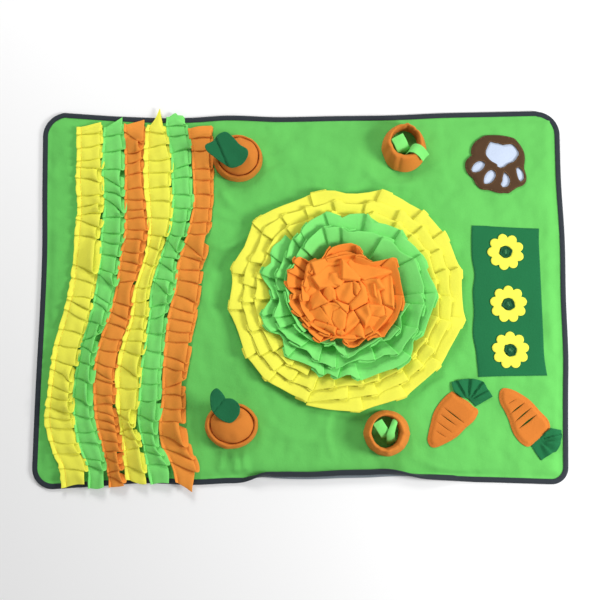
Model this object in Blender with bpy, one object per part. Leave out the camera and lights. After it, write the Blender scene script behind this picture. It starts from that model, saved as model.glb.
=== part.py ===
"""Snuffle mat: a fleece play mat with ruffles and felt pockets, lying flat on a floor.

The frame has +X along the long side, +Y to the far long side and +Z up. The origin is on the
underside, in the middle of the mat. Tables and sizes are in millimetres; one function, to_metres,
turns them into Blender's metres.
"""

import math

import bmesh
import bpy
import numpy as np
from mathutils import Vector
from mathutils.geometry import delaunay_2d_cdt

# ---------------------------------------------------------------- layers of the mat
GAP = 0.3  # between pieces that touch
BACKING = 1.0  # anti-slip cloth under the mat
PANEL = 1.5  # green fleece on top
BINDING = 1.0  # woven tape folded round the edge
LIP = 10.0  # how far the tape reaches in from the edge, above and below
TAPE_WALL = 1.6  # inner face of the tape's fold, from the edge
SHEET_INSET = 2.3  # edge of backing and panel inside the tape
EDGE_RISE = BINDING + GAP  # the sheets lie this much higher inside the tape
PANEL_TOP = BACKING + GAP + PANEL
ON_PANEL = PANEL_TOP + GAP
TAPE_TOP = EDGE_RISE + BACKING + GAP + PANEL + GAP + BINDING
FELT = 2.0  # sewn-on felt shapes

# ---------------------------------------------------------------- outline of the mat
# Each side runs between two corners: (place along the side, distance from the centre line).
BOTTOM = ((-468, -365), (-374, -359), (-300, -354), (-200, -357), (-125, -354), (-112, -354),
          (-98, -355), (-86, -357), (-75, -360), (-40, -366), (20, -368), (75, -367), (125, -366),
          (165, -363), (184, -361), (203, -358), (225, -354), (255, -351), (330, -352),
          (469, -356))
RIGHT = ((-324, 501), (-180, 505), (-130, 507), (0, 506), (110, 507), (230, 503), (318, 503))
TOP = ((457, 365), (365, 363), (276, 361), (188, 357), (60, 355), (-45, 353), (-155, 356),
       (-210, 352), (-353, 354), (-458, 361))
LEFT = ((314, -506), (200, -504), (80, -501), (-20, -502), (-180, -506), (-325, -508))
CORNER_RADII = (32, 46, 48, 40)  # front right, back right, back left, front left
CORNER_STEPS = 2
SHEET_RINGS = (SHEET_INSET, LIP, 16.0, 23.0, 30.0)  # distances from the edge

# The front edge curls up and back over the mat: (x, cloth in the curl, angle of the curl).
CURL = ((-125, 0, 0), (-112, 9, 30), (-98, 16, 60), (-86, 20, 88), (-75, 24, 115),
        (-40, 28, 140), (20, 29, 145), (75, 30, 155), (125, 30, 158), (165, 29, 142),
        (184, 27, 120), (203, 24, 95), (225, 21, 60), (255, 18, 32), (330, 0, 0))
CURL_RADIUS = 7.0

# Soft creases of the fleece: (from x, y, to x, y, height, half width).
CREASES = ((-169, 80, -172, -110, 2.0, 15),
           (-118, -300, -96, -318, 2.0, 12),
           (-60, 330, 40, 250, 1.8, 22),
           (268, 330, 300, 170, 2.4, 22),
           (20, -300, 96, -262, 2.0, 18),
           (262, -312, 418, -303, 2.0, 12),
           (-150, 200, -80, 150, 2.2, 18))
CREASE_STATIONS = (0.0, 0.25, 0.5, 0.75, 1.0)
INSIDE_ONLY = 1  # the triangulation keeps only the faces inside the border
SAME_POINT = 1e-4  # points nearer than this are one point

# ---------------------------------------------------------------- six pleated strips
# y of a row, then the left and right edge of each strip there.
STRIP_ROWS = (
    (372, -438, -394, -386, -352, -347, -310, -288, -273, -264, -236, -222, -179),
    (330, -438, -392, -386, -350, -346, -308, -302, -268, -264, -226, -222, -177),
    (280, -437, -389, -388, -346, -344, -308, -306, -257, -255, -216, -214, -175),
    (230, -438, -389, -388, -345, -343, -308, -306, -254, -252, -214, -211, -176),
    (175, -434, -384, -382, -343, -342, -301, -300, -253, -251, -213, -210, -176),
    (120, -436, -389, -387, -344, -342, -299, -297, -260, -258, -223, -221, -181),
    (65, -440, -391, -389, -353, -351, -307, -305, -277, -275, -240, -238, -189),
    (10, -445, -397, -395, -358, -356, -323, -321, -291, -289, -247, -245, -197),
    (-40, -456, -406, -404, -371, -369, -328, -326, -294, -292, -258, -256, -206),
    (-95, -471, -422, -420, -389, -387, -345, -343, -301, -299, -264, -261, -213),
    (-145, -477, -430, -428, -396, -394, -354, -352, -308, -306, -267, -264, -220),
    (-200, -482, -435, -433, -395, -393, -353, -351, -310, -308, -267, -264, -223),
    (-245, -483, -431, -429, -390, -388, -346, -344, -316, -308, -272, -269, -221),
    (-285, -473, -422, -420, -378, -376, -340, -338, -300, -298, -267, -263, -212),
    (-325, -454, -404, -402, -367, -365, -335, -333, -292, -290, -246, -243, -197),
    (-370, -448, -403, -400, -366, -360, -327, -325, -286, -280, -246, -233, -201),
)
# name, colour, y where it starts and ends, pleats
STRIPS = (
    ("ruffle_strip_1_yellow", "yellow", 336, -358, 24),
    ("ruffle_strip_2_green", "light_green", 350, -359, 24),
    ("ruffle_strip_3_orange", "orange", 344, -359, 24),
    ("ruffle_strip_4_yellow", "yellow", 366, -352, 24),
    ("ruffle_strip_5_green", "light_green", 355, -353, 24),
    ("ruffle_strip_6_orange", "orange", 339, -369, 24),
)
RUFFLE = 1.2  # cloth of the strips
UNDERLAP = 11.0  # cloth of a pleat that is folded back under it
FOLD_OPEN = 1.6  # middle of one layer to the middle of the next, at a fold
FOLD_NOSE = 0.45  # share of the cloth's thickness that is left at a hidden fold
STRIP_HIDDEN = 0.6  # height of a hidden fold over what the strip lies on
STITCH_HEIGHT = 6.4  # a pleat's height at its seam
FREE_HEIGHT = 8.2  # and at its free edge
HEIGHT_WAVE = 0.4  # how much the free height differs along a strip
TAPE_RAMP = (50.0, 12.0)  # a strip climbs onto the tape between these distances from the edge

# ---------------------------------------------------------------- ruffle flower
FLOWER_CENTRE = (83, -6)
FLOWER_SQUASH = 0.945  # its height in y for its width in x
FLAT_HEIGHT = 5.8  # height of the flat tabs' folds
FLAT_UNDERLAP = 0.2  # share of a tab that is folded back under it
FLAT_HIDDEN = 0.5  # height of a hidden fold over the row's own slope
FLAT_BENDS = 2  # bends in a tab, which follows the round row
# Each strip winds inwards. Its free edge goes from one radius to another, and so does its seam:
# name, colour, free radii, seam radii, turns, height of the free edge, folds
FLAT_ROWS = ("flower_yellow_rows", "yellow", (218, 160), (180, 128), 2.9, 13.0, 38)
GREEN_ROWS = ("flower_green_rows", "light_green", (165, 116), (112, 72), 2.9, 26.0, 38)
ORANGE_ROWS = ("flower_orange_rows", "orange", (106, 42), (60, 14), 3.7, 28.0, 26)
SPIRAL_STARTS = (95.0, 80.0, 20.0)  # angle at which each strip starts
WAVE = 3.4  # sideways wave of the standing ruffles at their free edge
STANDING = 1.5  # cloth of the standing ruffles
BUD = ((8, 0.0), (17, 13.0), (21, 23.0), (14, 28.0))  # rolled end: (radius, height)

# ---------------------------------------------------------------- pockets
# Open pockets: (name, x, y, outer half sizes, mouth half sizes, height)
OPEN_POCKETS = (("pocket_back", 196, 283, (42, 47), (25, 29), 36),
                ("pocket_front", 157, -261, (41, 41), (24, 26), 36))
CLOSED_POCKETS = (("carrot_pocket_back", -122, 262, (47, 45), (35, 33), 30),
                  ("carrot_pocket_front", -130, -247, (47, 42), (36, 32), 30))
POCKET_CLOTH = 3.0
POCKET_STEPS = 12
CARROT_TOP = ((0.60, 0.3), (0.90, 8.0), (0.92, 20.0), (0.74, 33.0), (0.36, 39.0))
# Ribbons in an open pocket: (name, pocket, width, points of its path in x, z from the pocket,
# place in y, turn of the ribbon seen from above)
RIBBON = 1.4
RIBBONS = (
    ("ribbon_back_inner", 0, 16, ((-15, 0.2), (-13, 20), (-6, 31), (4, 33)), 6, 25),
    ("ribbon_back_outer", 0, 17, ((9, 0.2), (12, 30), (20, 42.5), (32, 42.5), (46, 22)), -12, -35),
    ("ribbon_front_left", 1, 15, ((-14, 0.2), (-15, 22), (-9, 33), (0, 34)), 10, 40),
    ("ribbon_front_right", 1, 14, ((12, 0.2), (13, 24), (6, 35)), 2, 62),
)

# ---------------------------------------------------------------- felt shapes
# Outlines are (x, y) points; a point marked "c" is a corner, the others are rounded.
PAW = ((321, 276), (330, 297), (352, 312), (380, 315), (408, 311), (427, 297), (434, 272),
       (435, 246), (430, 224), (418, 214), (404, 215), (392, 204), (378, 200, "c"), (364, 207),
       (352, 218), (347, 231), (330, 236), (317, 250))
PAW_PAD = ((368, 302), (376, 299), (390, 294), (412, 297), (422, 283), (419, 271), (403, 261),
           (387, 251, "c"), (376, 256), (360, 272), (357, 286))
TOES = ((342, 252, 12, 8, 35), (365, 232, 9, 12, -20), (394, 228, 9, 12, 5),
        (421, 238, 8, 11, -10))  # x, y, half sizes, turn
PAW_LINING_INSET = 4.0
PAW_LINING = 1.2  # thickness of the white felt that shows through the paw's windows
FELT_PANEL = ((327, 136, "c"), (457, 131, "c"), (464, -152, "c"), (335, -154, "c"))
FLOWERS = ((391, 85), (394, -16), (396, -104))
PETALS = 9
PETAL_POINTS = 3
PETAL_RADIUS = 32.0
PETAL_DEPTH = 3.4
PETAL_HOLE = 12.0
FLOWER_HEART = ((0.3, 10.4), (3.0, 10.4), (4.6, 7.0))  # height, radius
CARROT_BACK = ((282, -183, "c"), (312, -197), (328, -209), (333, -221), (326, -233), (300, -257),
               (262, -284), (245, -288), (236, -274), (241, -243), (252, -219), (266, -197))
CARROT_BACK_SLITS = ((267, -213, 306, -243), (262, -226, 290, -247), (253, -239, 281, -259),
                     (251, -255, 270, -268))
CARROT_BACK_LEAVES = ((284, -181, "c"), (282, -162, "c"), (321, -157), (342, -163, "c"),
                      (359, -193, "c"), (331, -208, "c"), (314, -195.5, "c"))
CARROT_FRONT = ((385, -175), (375, -184), (372, -200), (383, -225), (400, -264), (411, -279),
                (424, -286), (434, -282, "c"), (468, -249, "c"), (464, -236), (436, -205), (407, -184))
CARROT_FRONT_SLITS = ((390, -206, 405, -197), (393, -224, 421, -203), (402, -240, 432, -214),
                      (408, -253, 443, -225))
CARROT_FRONT_LEAVES = ((429, -287.5, "c"), (447, -311, "c"), (470, -295), (480, -293),
                       (484, -276), (483, -256, "c"), (471, -250, "c"))
SLIT = 1.6  # width of a cut
LEAF_BACK = ((-184, 284), (-170, 292), (-159, 304), (-145, 309), (-132, 300), (-118, 285),
             (-104, 276), (-103, 264), (-114, 248), (-134, 241), (-150, 249), (-168, 262),
             (-182, 274))
LEAF_FRONT = ((-168, -184), (-158, -176), (-147, -186), (-142, -196, "c"), (-128, -197),
              (-116, -209), (-117, -226), (-132, -241), (-150, -236), (-166, -220), (-170, -200))
LEAF = 3.4  # two layers of felt sewn together
LEAF_TURN = 12.0  # the leaf leans back by this angle
# name, outline, height of the leaf's middle
LEAVES = (("leaf_back", LEAF_BACK, 49.7), ("leaf_front", LEAF_FRONT, 46.8))

COLOURS = {
    "ground_green": "6CC95F", "slate": "2F4152", "slate_net": "27323C", "yellow": "EFE94C",
    "light_green": "74D56C", "orange": "E2812F", "dark_green": "1B7A4B", "leaf_green": "1C9063",
    "brown": "5F4226", "white": "DCE8F6",
}
ROUGHNESS = 0.92


def to_metres(point):
    """A point in millimetres becomes a vector in metres."""
    return Vector(point) / 1000.0


def clear_scene():
    for obj in list(bpy.data.objects):
        bpy.data.objects.remove(obj, do_unlink=True)


def new_collection(name):
    collection = bpy.data.collections.new(name)
    bpy.context.scene.collection.children.link(collection)
    return collection


def linear(channel):
    """One sRGB channel, 0 to 1, as the linear value that a shader wants."""
    return channel / 12.92 if channel <= 0.04045 else ((channel + 0.055) / 1.055) ** 2.4


def cloth_material(piece, colour):
    """Each piece has a material of its own: matt cloth in one of the mat's colours."""
    material = bpy.data.materials.new(piece + "_cloth")
    material.use_nodes = True
    shader = material.node_tree.nodes["Principled BSDF"]
    code = COLOURS[colour]
    rgb = [linear(int(code[i:i + 2], 16) / 255.0) for i in (0, 2, 4)]
    shader.inputs["Base Color"].default_value = (*rgb, 1.0)
    shader.inputs["Roughness"].default_value = ROUGHNESS
    shader.inputs["Metallic"].default_value = 0.0
    return material


def add_object(name, data, colour):
    data.materials.append(cloth_material(name, colour))
    obj = bpy.data.objects.new(name, data)
    MAT.objects.link(obj)
    return obj


def along(table, place, column=1):
    """A value of a table at a place between its rows, on straight lines."""
    rows = sorted(table)
    return float(np.interp(place, [row[0] for row in rows], [row[column] for row in rows]))


# ---------------------------------------------------------------- the mat's edge and its curl
def corner(centre, radius, start):
    """The inner points of a quarter turn; its two ends belong to the sides."""
    steps = range(1, CORNER_STEPS + 1)
    angles = [math.radians(start + 90.0 * k / (CORNER_STEPS + 1)) for k in steps]
    return [(centre[0] + radius * math.cos(a), centre[1] + radius * math.sin(a)) for a in angles]


def ring(inset):
    """The mat's outline, moved inwards, anticlockwise from the front left corner."""
    points = [(x, y + inset) for x, y in BOTTOM]
    front_right, back_right, back_left, front_left = CORNER_RADII
    points += corner((BOTTOM[-1][0], RIGHT[0][0]), front_right - inset, -90)
    points += [(x - inset, y) for y, x in RIGHT]
    points += corner((TOP[0][0], RIGHT[-1][0]), back_right - inset, 0)
    points += [(x, y - inset) for x, y in TOP]
    points += corner((TOP[-1][0], LEFT[0][0]), back_left - inset, 90)
    points += [(x + inset, y) for y, x in LEFT]
    points += corner((BOTTOM[0][0], LEFT[-1][0]), front_left - inset, 180)
    return points


def curled(x, y, z):
    """Where a point of the flat mat lies once the front edge has curled up and back."""
    length = along(CURL, x)
    departure = along(BOTTOM, x) + length
    past = departure - y
    if past <= 0.0 or length == 0.0 or y > 0.0:
        return (x, y, z)
    turn = min(past / CURL_RADIUS, math.radians(along(CURL, x, 2)))
    straight = past - turn * CURL_RADIUS
    sin, cos = math.sin(turn), math.cos(turn)
    return (x, departure - (CURL_RADIUS - z) * sin - straight * cos,
            CURL_RADIUS - (CURL_RADIUS - z) * cos + straight * sin)


def edge_rise(inset):
    """The sheets climb a little so that the tape fits under them."""
    return EDGE_RISE * float(np.interp(inset, [SHEET_RINGS[1], SHEET_RINGS[2]], [1.0, 0.0]))


# ---------------------------------------------------------------- making meshes
def mesh_from(name, points, faces, colour):
    """A mesh piece from points in millimetres, with its faces turned outwards."""
    bm = bmesh.new()
    verts = [bm.verts.new(to_metres(p)) for p in points]
    for face in faces:
        bm.faces.new([verts[i] for i in face])
    bmesh.ops.dissolve_limit(bm, angle_limit=math.radians(0.05), verts=bm.verts, edges=bm.edges)
    bmesh.ops.recalc_face_normals(bm, faces=bm.faces)
    mesh = bpy.data.meshes.new(name)
    bm.to_mesh(mesh)
    bm.free()
    return add_object(name, mesh, colour)


def loft(name, sections, colour, closed=False):
    """Skins closed sections of equal count, one after another, with caps unless it closes up."""
    count = len(sections[0])
    points = [p for section in sections for p in section]
    spans = len(sections) if closed else len(sections) - 1
    faces = []
    for s in range(spans):
        here, there = s * count, ((s + 1) % len(sections)) * count
        for i in range(count):
            j = (i + 1) % count
            faces.append((here + i, here + j, there + j, there + i))
    if not closed:
        last = (len(sections) - 1) * count
        faces.append(tuple(range(count)))
        faces.append(tuple(last + i for i in range(count)))
    return mesh_from(name, points, faces, colour)


def ruffled(name, sections, colour):
    """Skins thin sections of four points: seam and free edge on one side, then on the other.

    Both sides are cut into triangles along the same diagonals, so that they stay apart.
    """
    points = [p for section in sections for p in section]
    faces = [(0, 1, 2, 3)]
    for s in range(len(sections) - 1):
        seam, free, free_back, seam_back = range(4 * s, 4 * s + 4)
        seam2, free2, free_back2, seam_back2 = range(4 * s + 4, 4 * s + 8)
        faces += [(seam, free, free2), (seam, free2, seam2)]
        faces += [(seam_back, free_back2, free_back), (seam_back, seam_back2, free_back2)]
        faces += [(free, free_back, free_back2, free2), (seam_back, seam, seam2, seam_back2)]
    last = 4 * (len(sections) - 1)
    faces.append((last + 3, last + 2, last + 1, last))
    return mesh_from(name, points, faces, colour)


def sheet(name, bottom, thickness, creases, colour):
    """A sheet of the mat: rings along the edge, and an inner part that may have creases."""
    rings = [ring(inset) for inset in SHEET_RINGS]
    count = len(rings[0])
    plan = [(x, y, edge_rise(inset)) for inset, row in zip(SHEET_RINGS, rings) for x, y in row]
    faces = []
    for r in range(len(rings) - 1):
        for i in range(count):
            j = (i + 1) % count
            here, there = r * count, (r + 1) * count
            faces.append((here + i, here + j, there + j))
            faces.append((here + i, there + j, there + i))
    inner_start = len(plan) - count
    border = [Vector(p) for p in rings[-1]]
    loose = [Vector((x, y)) for x, y, _ in creases]
    edges = [(i, (i + 1) % count) for i in range(count)]
    filled = delaunay_2d_cdt(border + loose, edges, [], INSIDE_ONLY, SAME_POINT)
    plan += list(creases)
    faces += [tuple(inner_start + i for i in face) for face in filled[2]]
    size = len(plan)
    points = [curled(x, y, bottom + rise) for x, y, rise in plan]
    points += [curled(x, y, bottom + rise + thickness) for x, y, rise in plan]
    both = [tuple(reversed(face)) for face in faces]
    both += [tuple(size + i for i in face) for face in faces]
    both += [(i, (i + 1) % count, size + (i + 1) % count, size + i) for i in range(count)]
    return mesh_from(name, points, both, colour)


def crease_points():
    """Crest and foot points of each soft crease, as (x, y, height over the flat fleece)."""
    points = []
    for x0, y0, x1, y1, height, half in CREASES:
        length = math.hypot(x1 - x0, y1 - y0)
        side = (-(y1 - y0) / length * half, (x1 - x0) / length * half)
        for t in CREASE_STATIONS:
            x, y = x0 + (x1 - x0) * t, y0 + (y1 - y0) * t
            crest = height * math.sin(math.pi * t)
            points.append((x, y, crest))
            if crest > 0.01 * height:
                points.append((x + side[0], y + side[1], 0.0))
                points.append((x - side[0], y - side[1], 0.0))
    return points


def make_mat():
    sheet("backing", 0.0, BACKING, [], "slate_net")
    sheet("ground_panel", BACKING + GAP, PANEL, crease_points(), "ground_green")
    fold_over_edge("binding", "slate")


def fold_over_edge(name, colour):
    """The tape: a channel of cloth that runs round the edge of both sheets."""
    under = TAPE_TOP - BINDING
    section = ((0, 0), (0, TAPE_TOP), (SHEET_INSET, TAPE_TOP), (LIP, TAPE_TOP), (LIP, under),
               (SHEET_INSET, under), (TAPE_WALL, under), (TAPE_WALL, BINDING),
               (SHEET_INSET, BINDING), (LIP, BINDING), (LIP, 0), (SHEET_INSET, 0))
    loops = {inset: ring(inset) for inset, _ in section}
    stations, count = len(loops[0]), len(section)
    points = [curled(*loops[w][i], z) for i in range(stations) for w, z in section]
    faces = []
    for i in range(stations):
        here, there = i * count, ((i + 1) % stations) * count
        for m in range(count):
            n = (m + 1) % count
            inner, outer = (n, m) if section[m][0] <= section[n][0] else (m, n)
            faces.append((here + outer, here + inner, there + inner))
            faces.append((here + outer, there + inner, there + outer))
    mesh_from(name, points, faces, colour)


# ---------------------------------------------------------------- pleated cloth
def offset_path(path, thickness):
    """Both sides of a thick line in its own plane, mitred at its corners."""
    normals = []
    for (a0, h0), (a1, h1) in zip(path, path[1:]):
        length = math.hypot(a1 - a0, h1 - h0)
        normals.append((-(h1 - h0) / length, (a1 - a0) / length))
    normals = [normals[0]] + normals + [normals[-1]]
    sides = []
    for (a, h), n1, n2 in zip(path, normals, normals[1:]):
        opening = 1.0 + n1[0] * n2[0] + n1[1] * n2[1]
        if opening < 0.2:  # a sharp fold back: the cloth thins to an edge there
            # n2 - n1, turned by a quarter, runs between the two layers, from the fold inwards
            across, up = n2[1] - n1[1], n1[0] - n2[0]
            reach = FOLD_NOSE * thickness / math.sqrt(2.0 * opening)
            da, dh = reach * across / 2.0, reach * up / 2.0
        else:
            scale = thickness / 2.0 / opening
            da, dh = (n1[0] + n2[0]) * scale, (n1[1] + n2[1]) * scale
        sides.append(((a + da, h + dh), (a - da, h - dh)))
    return sides


def knife_pleats(pleats, pitch, heights, underlap, hidden, bends):
    """The back-and-forth line of knife pleats: forward on top, back underneath, forward again.

    hidden is the height of the fold that lies under the next pleat. A pleat that follows a round
    row has bends, so that it keeps to the row.
    """
    low = RUFFLE / 2.0
    path = [(0.0, low)]
    for k in range(pleats):
        fold = (k + 1) * pitch
        start, top = path[-1], (fold, heights[k] - low)
        for bend in range(1, bends + 1):
            share = bend / (bends + 1)
            path.append((start[0] + (top[0] - start[0]) * share,
                         start[1] + (top[1] - start[1]) * share))
        path.append(top)
        if k < pleats - 1:
            path.append((fold, heights[k] - low - FOLD_OPEN))
            path.append((fold - underlap, hidden))
    return path


def pleated(name, place, pleats, pitch, heights, underlap, hidden, colour, bends=0):
    """Knife pleats swept from their seam (across = 0) to their free edge (across = 1)."""
    seam = offset_path(knife_pleats(pleats, pitch, heights[0], underlap, hidden, bends), RUFFLE)
    free = offset_path(knife_pleats(pleats, pitch, heights[1], underlap, hidden, bends), RUFFLE)
    sections = [[place(*s_up, 0.0), place(*f_up, 1.0), place(*f_low, 1.0), place(*s_low, 0.0)]
                for (s_up, s_low), (f_up, f_low) in zip(seam, free)]
    return ruffled(name, sections, colour)


def on_strips(x, y):
    """Height that a strip lies on: the fleece, and the tape near the edge."""
    inset = min(along(TOP, x) - y, y - along(BOTTOM, x))
    rise = TAPE_TOP - PANEL_TOP
    return ON_PANEL + rise * float(np.interp(-inset, [-TAPE_RAMP[0], -TAPE_RAMP[1]], [0.0, 1.0]))


def strip_place(number, start):
    left, right = 1 + 2 * number, 2 + 2 * number

    def place(distance, height, across):
        y = start - distance
        x0, x1 = along(STRIP_ROWS, y, left), along(STRIP_ROWS, y, right)
        x = x0 + (x1 - x0) * across
        return (x, y, on_strips(x, y) + height)

    return place


def make_strips():
    for number, (name, colour, start, end, pleats) in enumerate(STRIPS):
        pitch = (start - end) / pleats
        seam = [STITCH_HEIGHT] * pleats
        free = [FREE_HEIGHT + HEIGHT_WAVE * math.sin(2.1 * k + number) for k in range(pleats)]
        pleated(name, strip_place(number, start), pleats, pitch, (seam, free), UNDERLAP,
                STRIP_HIDDEN, colour)


# ---------------------------------------------------------------- ruffle flower
def spiral(free, seam, turns, height_of_edge, start):
    """The length of a strip that winds inwards, and the place of a point on it."""
    step = (free[0] - free[1]) / turns
    length = 2.0 * math.pi * turns * (free[0] + free[1]) / 2.0

    def place(distance, height, across):
        root = math.sqrt(max(free[0] ** 2 - step * distance / math.pi, 0.0))
        turned = (free[0] - root) / step
        angle = math.radians(start) + 2.0 * math.pi * turned
        outer = free[0] - step * turned
        inner = seam[0] - (seam[0] - seam[1]) * turned / turns
        r = inner + (outer - inner) * across
        x = FLOWER_CENTRE[0] + r * math.cos(angle)
        y = FLOWER_CENTRE[1] + FLOWER_SQUASH * r * math.sin(angle)
        return (x, y, ON_PANEL + height_of_edge * across + height)

    return length, place


def make_flat_rows():
    name, colour, free, seam, turns, height, folds = FLAT_ROWS
    length, place = spiral(free, seam, turns, height, SPIRAL_STARTS[0])
    pitch = length / folds
    heights = ([FLAT_HEIGHT] * folds, [FLAT_HEIGHT] * folds)
    pleated(name, place, folds, pitch, heights, FLAT_UNDERLAP * pitch, FLAT_HIDDEN, colour,
            bends=FLAT_BENDS)


def standing_rows(table, start):
    """A gathered strip that stands up: its free edge waves from side to side."""
    name, colour, free, seam, turns, height, folds = table
    length, place = spiral(free, seam, turns, height, start)
    half = STANDING / 2.0
    sections = []
    for k in range(2 * folds + 1):
        distance = length * k / (2 * folds)
        root = Vector(place(distance, half, 0.0))
        edge = Vector(place(distance, half, 1.0))
        out = Vector((edge.x - root.x, edge.y - root.y, 0.0)).normalized()
        slope = math.atan2(edge.z - root.z, math.hypot(edge.x - root.x, edge.y - root.y))
        across = (Vector((0, 0, 1)) * math.cos(slope) - out * math.sin(slope)) * half
        edge = edge + out * (WAVE if k % 2 else -WAVE)
        sections.append([root + across, edge + across, edge - across, root - across])
    ruffled(name, sections, colour)


def rings_at(centre, profile, steps=12, squash=1.0):
    """Closed level rings round a centre, from (radius, height) rows."""
    turns = [2.0 * math.pi * k / steps for k in range(steps)]
    return [[(centre[0] + r * math.cos(t), centre[1] + squash * r * math.sin(t), ON_PANEL + z)
             for t in turns] for r, z in profile]


def make_flower():
    make_flat_rows()
    standing_rows(GREEN_ROWS, SPIRAL_STARTS[1])
    standing_rows(ORANGE_ROWS, SPIRAL_STARTS[2])
    loft("flower_bud", rings_at(FLOWER_CENTRE, BUD), "orange")


# ---------------------------------------------------------------- pockets
def collar(name, x, y, outer, mouth, height):
    """A cloth tube whose top is turned out and down over itself, as one sheet."""
    t = POCKET_CLOTH
    sections = []
    for k in range(POCKET_STEPS):
        angle = 2.0 * math.pi * k / POCKET_STEPS
        cos, sin = math.cos(angle), math.sin(angle)

        def at(share, extra, z):
            """share 0 is the mouth, 1 the outside; extra moves outwards."""
            rx = mouth[0] + (outer[0] - mouth[0]) * share + extra
            ry = mouth[1] + (outer[1] - mouth[1]) * share + extra
            return (x + rx * cos, y + ry * sin, ON_PANEL + z)

        sections.append([at(0, 0, 0), at(0.1, 0, height - 4), at(0.3, 0, height),
                         at(0.55, 0, height - 1), at(0.9, 0, height * 0.55), at(1, 0, 0),
                         at(1, -t, 0), at(0.9, -t, height * 0.5), at(0.4, 0, height - t),
                         at(0.1, t, height - 7), at(0, t, 0)])
    loft(name, sections, "orange", closed=True)


def ribbon(name, pocket, width, path, shift, turn):
    """A loose strip of fleece that comes out of a pocket."""
    x, y = OPEN_POCKETS[pocket][1:3]
    cos, sin = math.cos(math.radians(turn)), math.sin(math.radians(turn))

    def at(u, v, z):
        return (x + u * cos - v * sin, y + u * sin + v * cos, ON_PANEL + z)

    sections = [[at(*up[:1], shift - width / 2, up[1]), at(*up[:1], shift + width / 2, up[1]),
                 at(*low[:1], shift + width / 2, low[1]), at(*low[:1], shift - width / 2, low[1])]
                for up, low in offset_path(path, RIBBON)]
    loft(name, sections, "light_green")


def make_pockets():
    for pocket in OPEN_POCKETS:
        collar(*pocket)
    for row in RIBBONS:
        ribbon(*row)
    for name, x, y, outer, mouth, height in CLOSED_POCKETS:
        collar(name, x, y, outer, mouth, height)
        profile = [(share * mouth[0], z) for share, z in CARROT_TOP]
        dome = rings_at((x, y), profile, squash=mouth[1] / mouth[0])
        loft(name + "_plush", dome, "orange")
    for name, outline, height in LEAVES:
        middle = np.mean([point[:2] for point in outline], axis=0)
        leaf = flat_piece(name, outline, height, LEAF, "leaf_green", middle=middle)
        leaf.rotation_euler = (0.0, math.radians(LEAF_TURN), 0.0)


# ---------------------------------------------------------------- flat felt shapes
def add_spline(curve, outline, middle):
    """A closed outline: rounded points, and corners where a point is marked."""
    spline = curve.splines.new("BEZIER")
    spline.bezier_points.add(len(outline) - 1)
    for knot, point in zip(spline.bezier_points, outline):
        knot.co = to_metres((point[0] - middle[0], point[1] - middle[1], 0.0))
        kind = "VECTOR" if len(point) > 2 else "AUTO"
        knot.handle_left_type = kind
        knot.handle_right_type = kind
    spline.use_cyclic_u = True


def flat_piece(name, outline, bottom, thickness, colour, holes=(), middle=(0.0, 0.0), fine=2):
    """A felt shape cut from its outline, with holes, lying level."""
    curve = bpy.data.curves.new(name, "CURVE")
    curve.dimensions = "2D"
    curve.fill_mode = "BOTH"
    curve.resolution_u = fine
    curve.extrude = thickness / 2000.0
    for loop in (outline, *holes):
        add_spline(curve, loop, middle)
    piece = add_object(name, curve, colour)
    piece.location = to_metres((middle[0], middle[1], bottom + thickness / 2.0))
    return piece


def oval(x, y, half_x, half_y, turn, points=8):
    """An oval hole as rounded points."""
    cos, sin = math.cos(math.radians(turn)), math.sin(math.radians(turn))
    loop = []
    for k in range(points):
        angle = 2.0 * math.pi * k / points
        u, v = half_x * math.cos(angle), half_y * math.sin(angle)
        loop.append((x + u * cos - v * sin, y + u * sin + v * cos))
    return loop


def slit_hole(x0, y0, x1, y1):
    """A cut through the felt, open by a little."""
    length = math.hypot(x1 - x0, y1 - y0)
    nx, ny = -(y1 - y0) / length * SLIT / 2, (x1 - x0) / length * SLIT / 2
    return [(x0 - nx, y0 - ny, "c"), (x1 - nx, y1 - ny, "c"), (x1 + nx, y1 + ny, "c"),
            (x0 + nx, y0 + ny, "c")]


def shrunk(outline, inset):
    """An outline drawn in towards its middle."""
    points = np.array([point[:2] for point in outline], dtype=float)
    middle = points.mean(axis=0)
    distance = np.linalg.norm(points - middle, axis=1, keepdims=True)
    return [tuple(p) for p in middle + (points - middle) * (1.0 - inset / distance)]


def petal_outline(x, y):
    """A round flower: its radius swells and shrinks once for each petal."""
    loop = []
    for k in range(PETAL_POINTS * PETALS):
        angle = 2.0 * math.pi * k / (PETAL_POINTS * PETALS)
        radius = PETAL_RADIUS + PETAL_DEPTH * math.cos(PETALS * angle)
        loop.append((x + radius * math.cos(angle), y + radius * math.sin(angle), "c"))
    return loop


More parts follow.
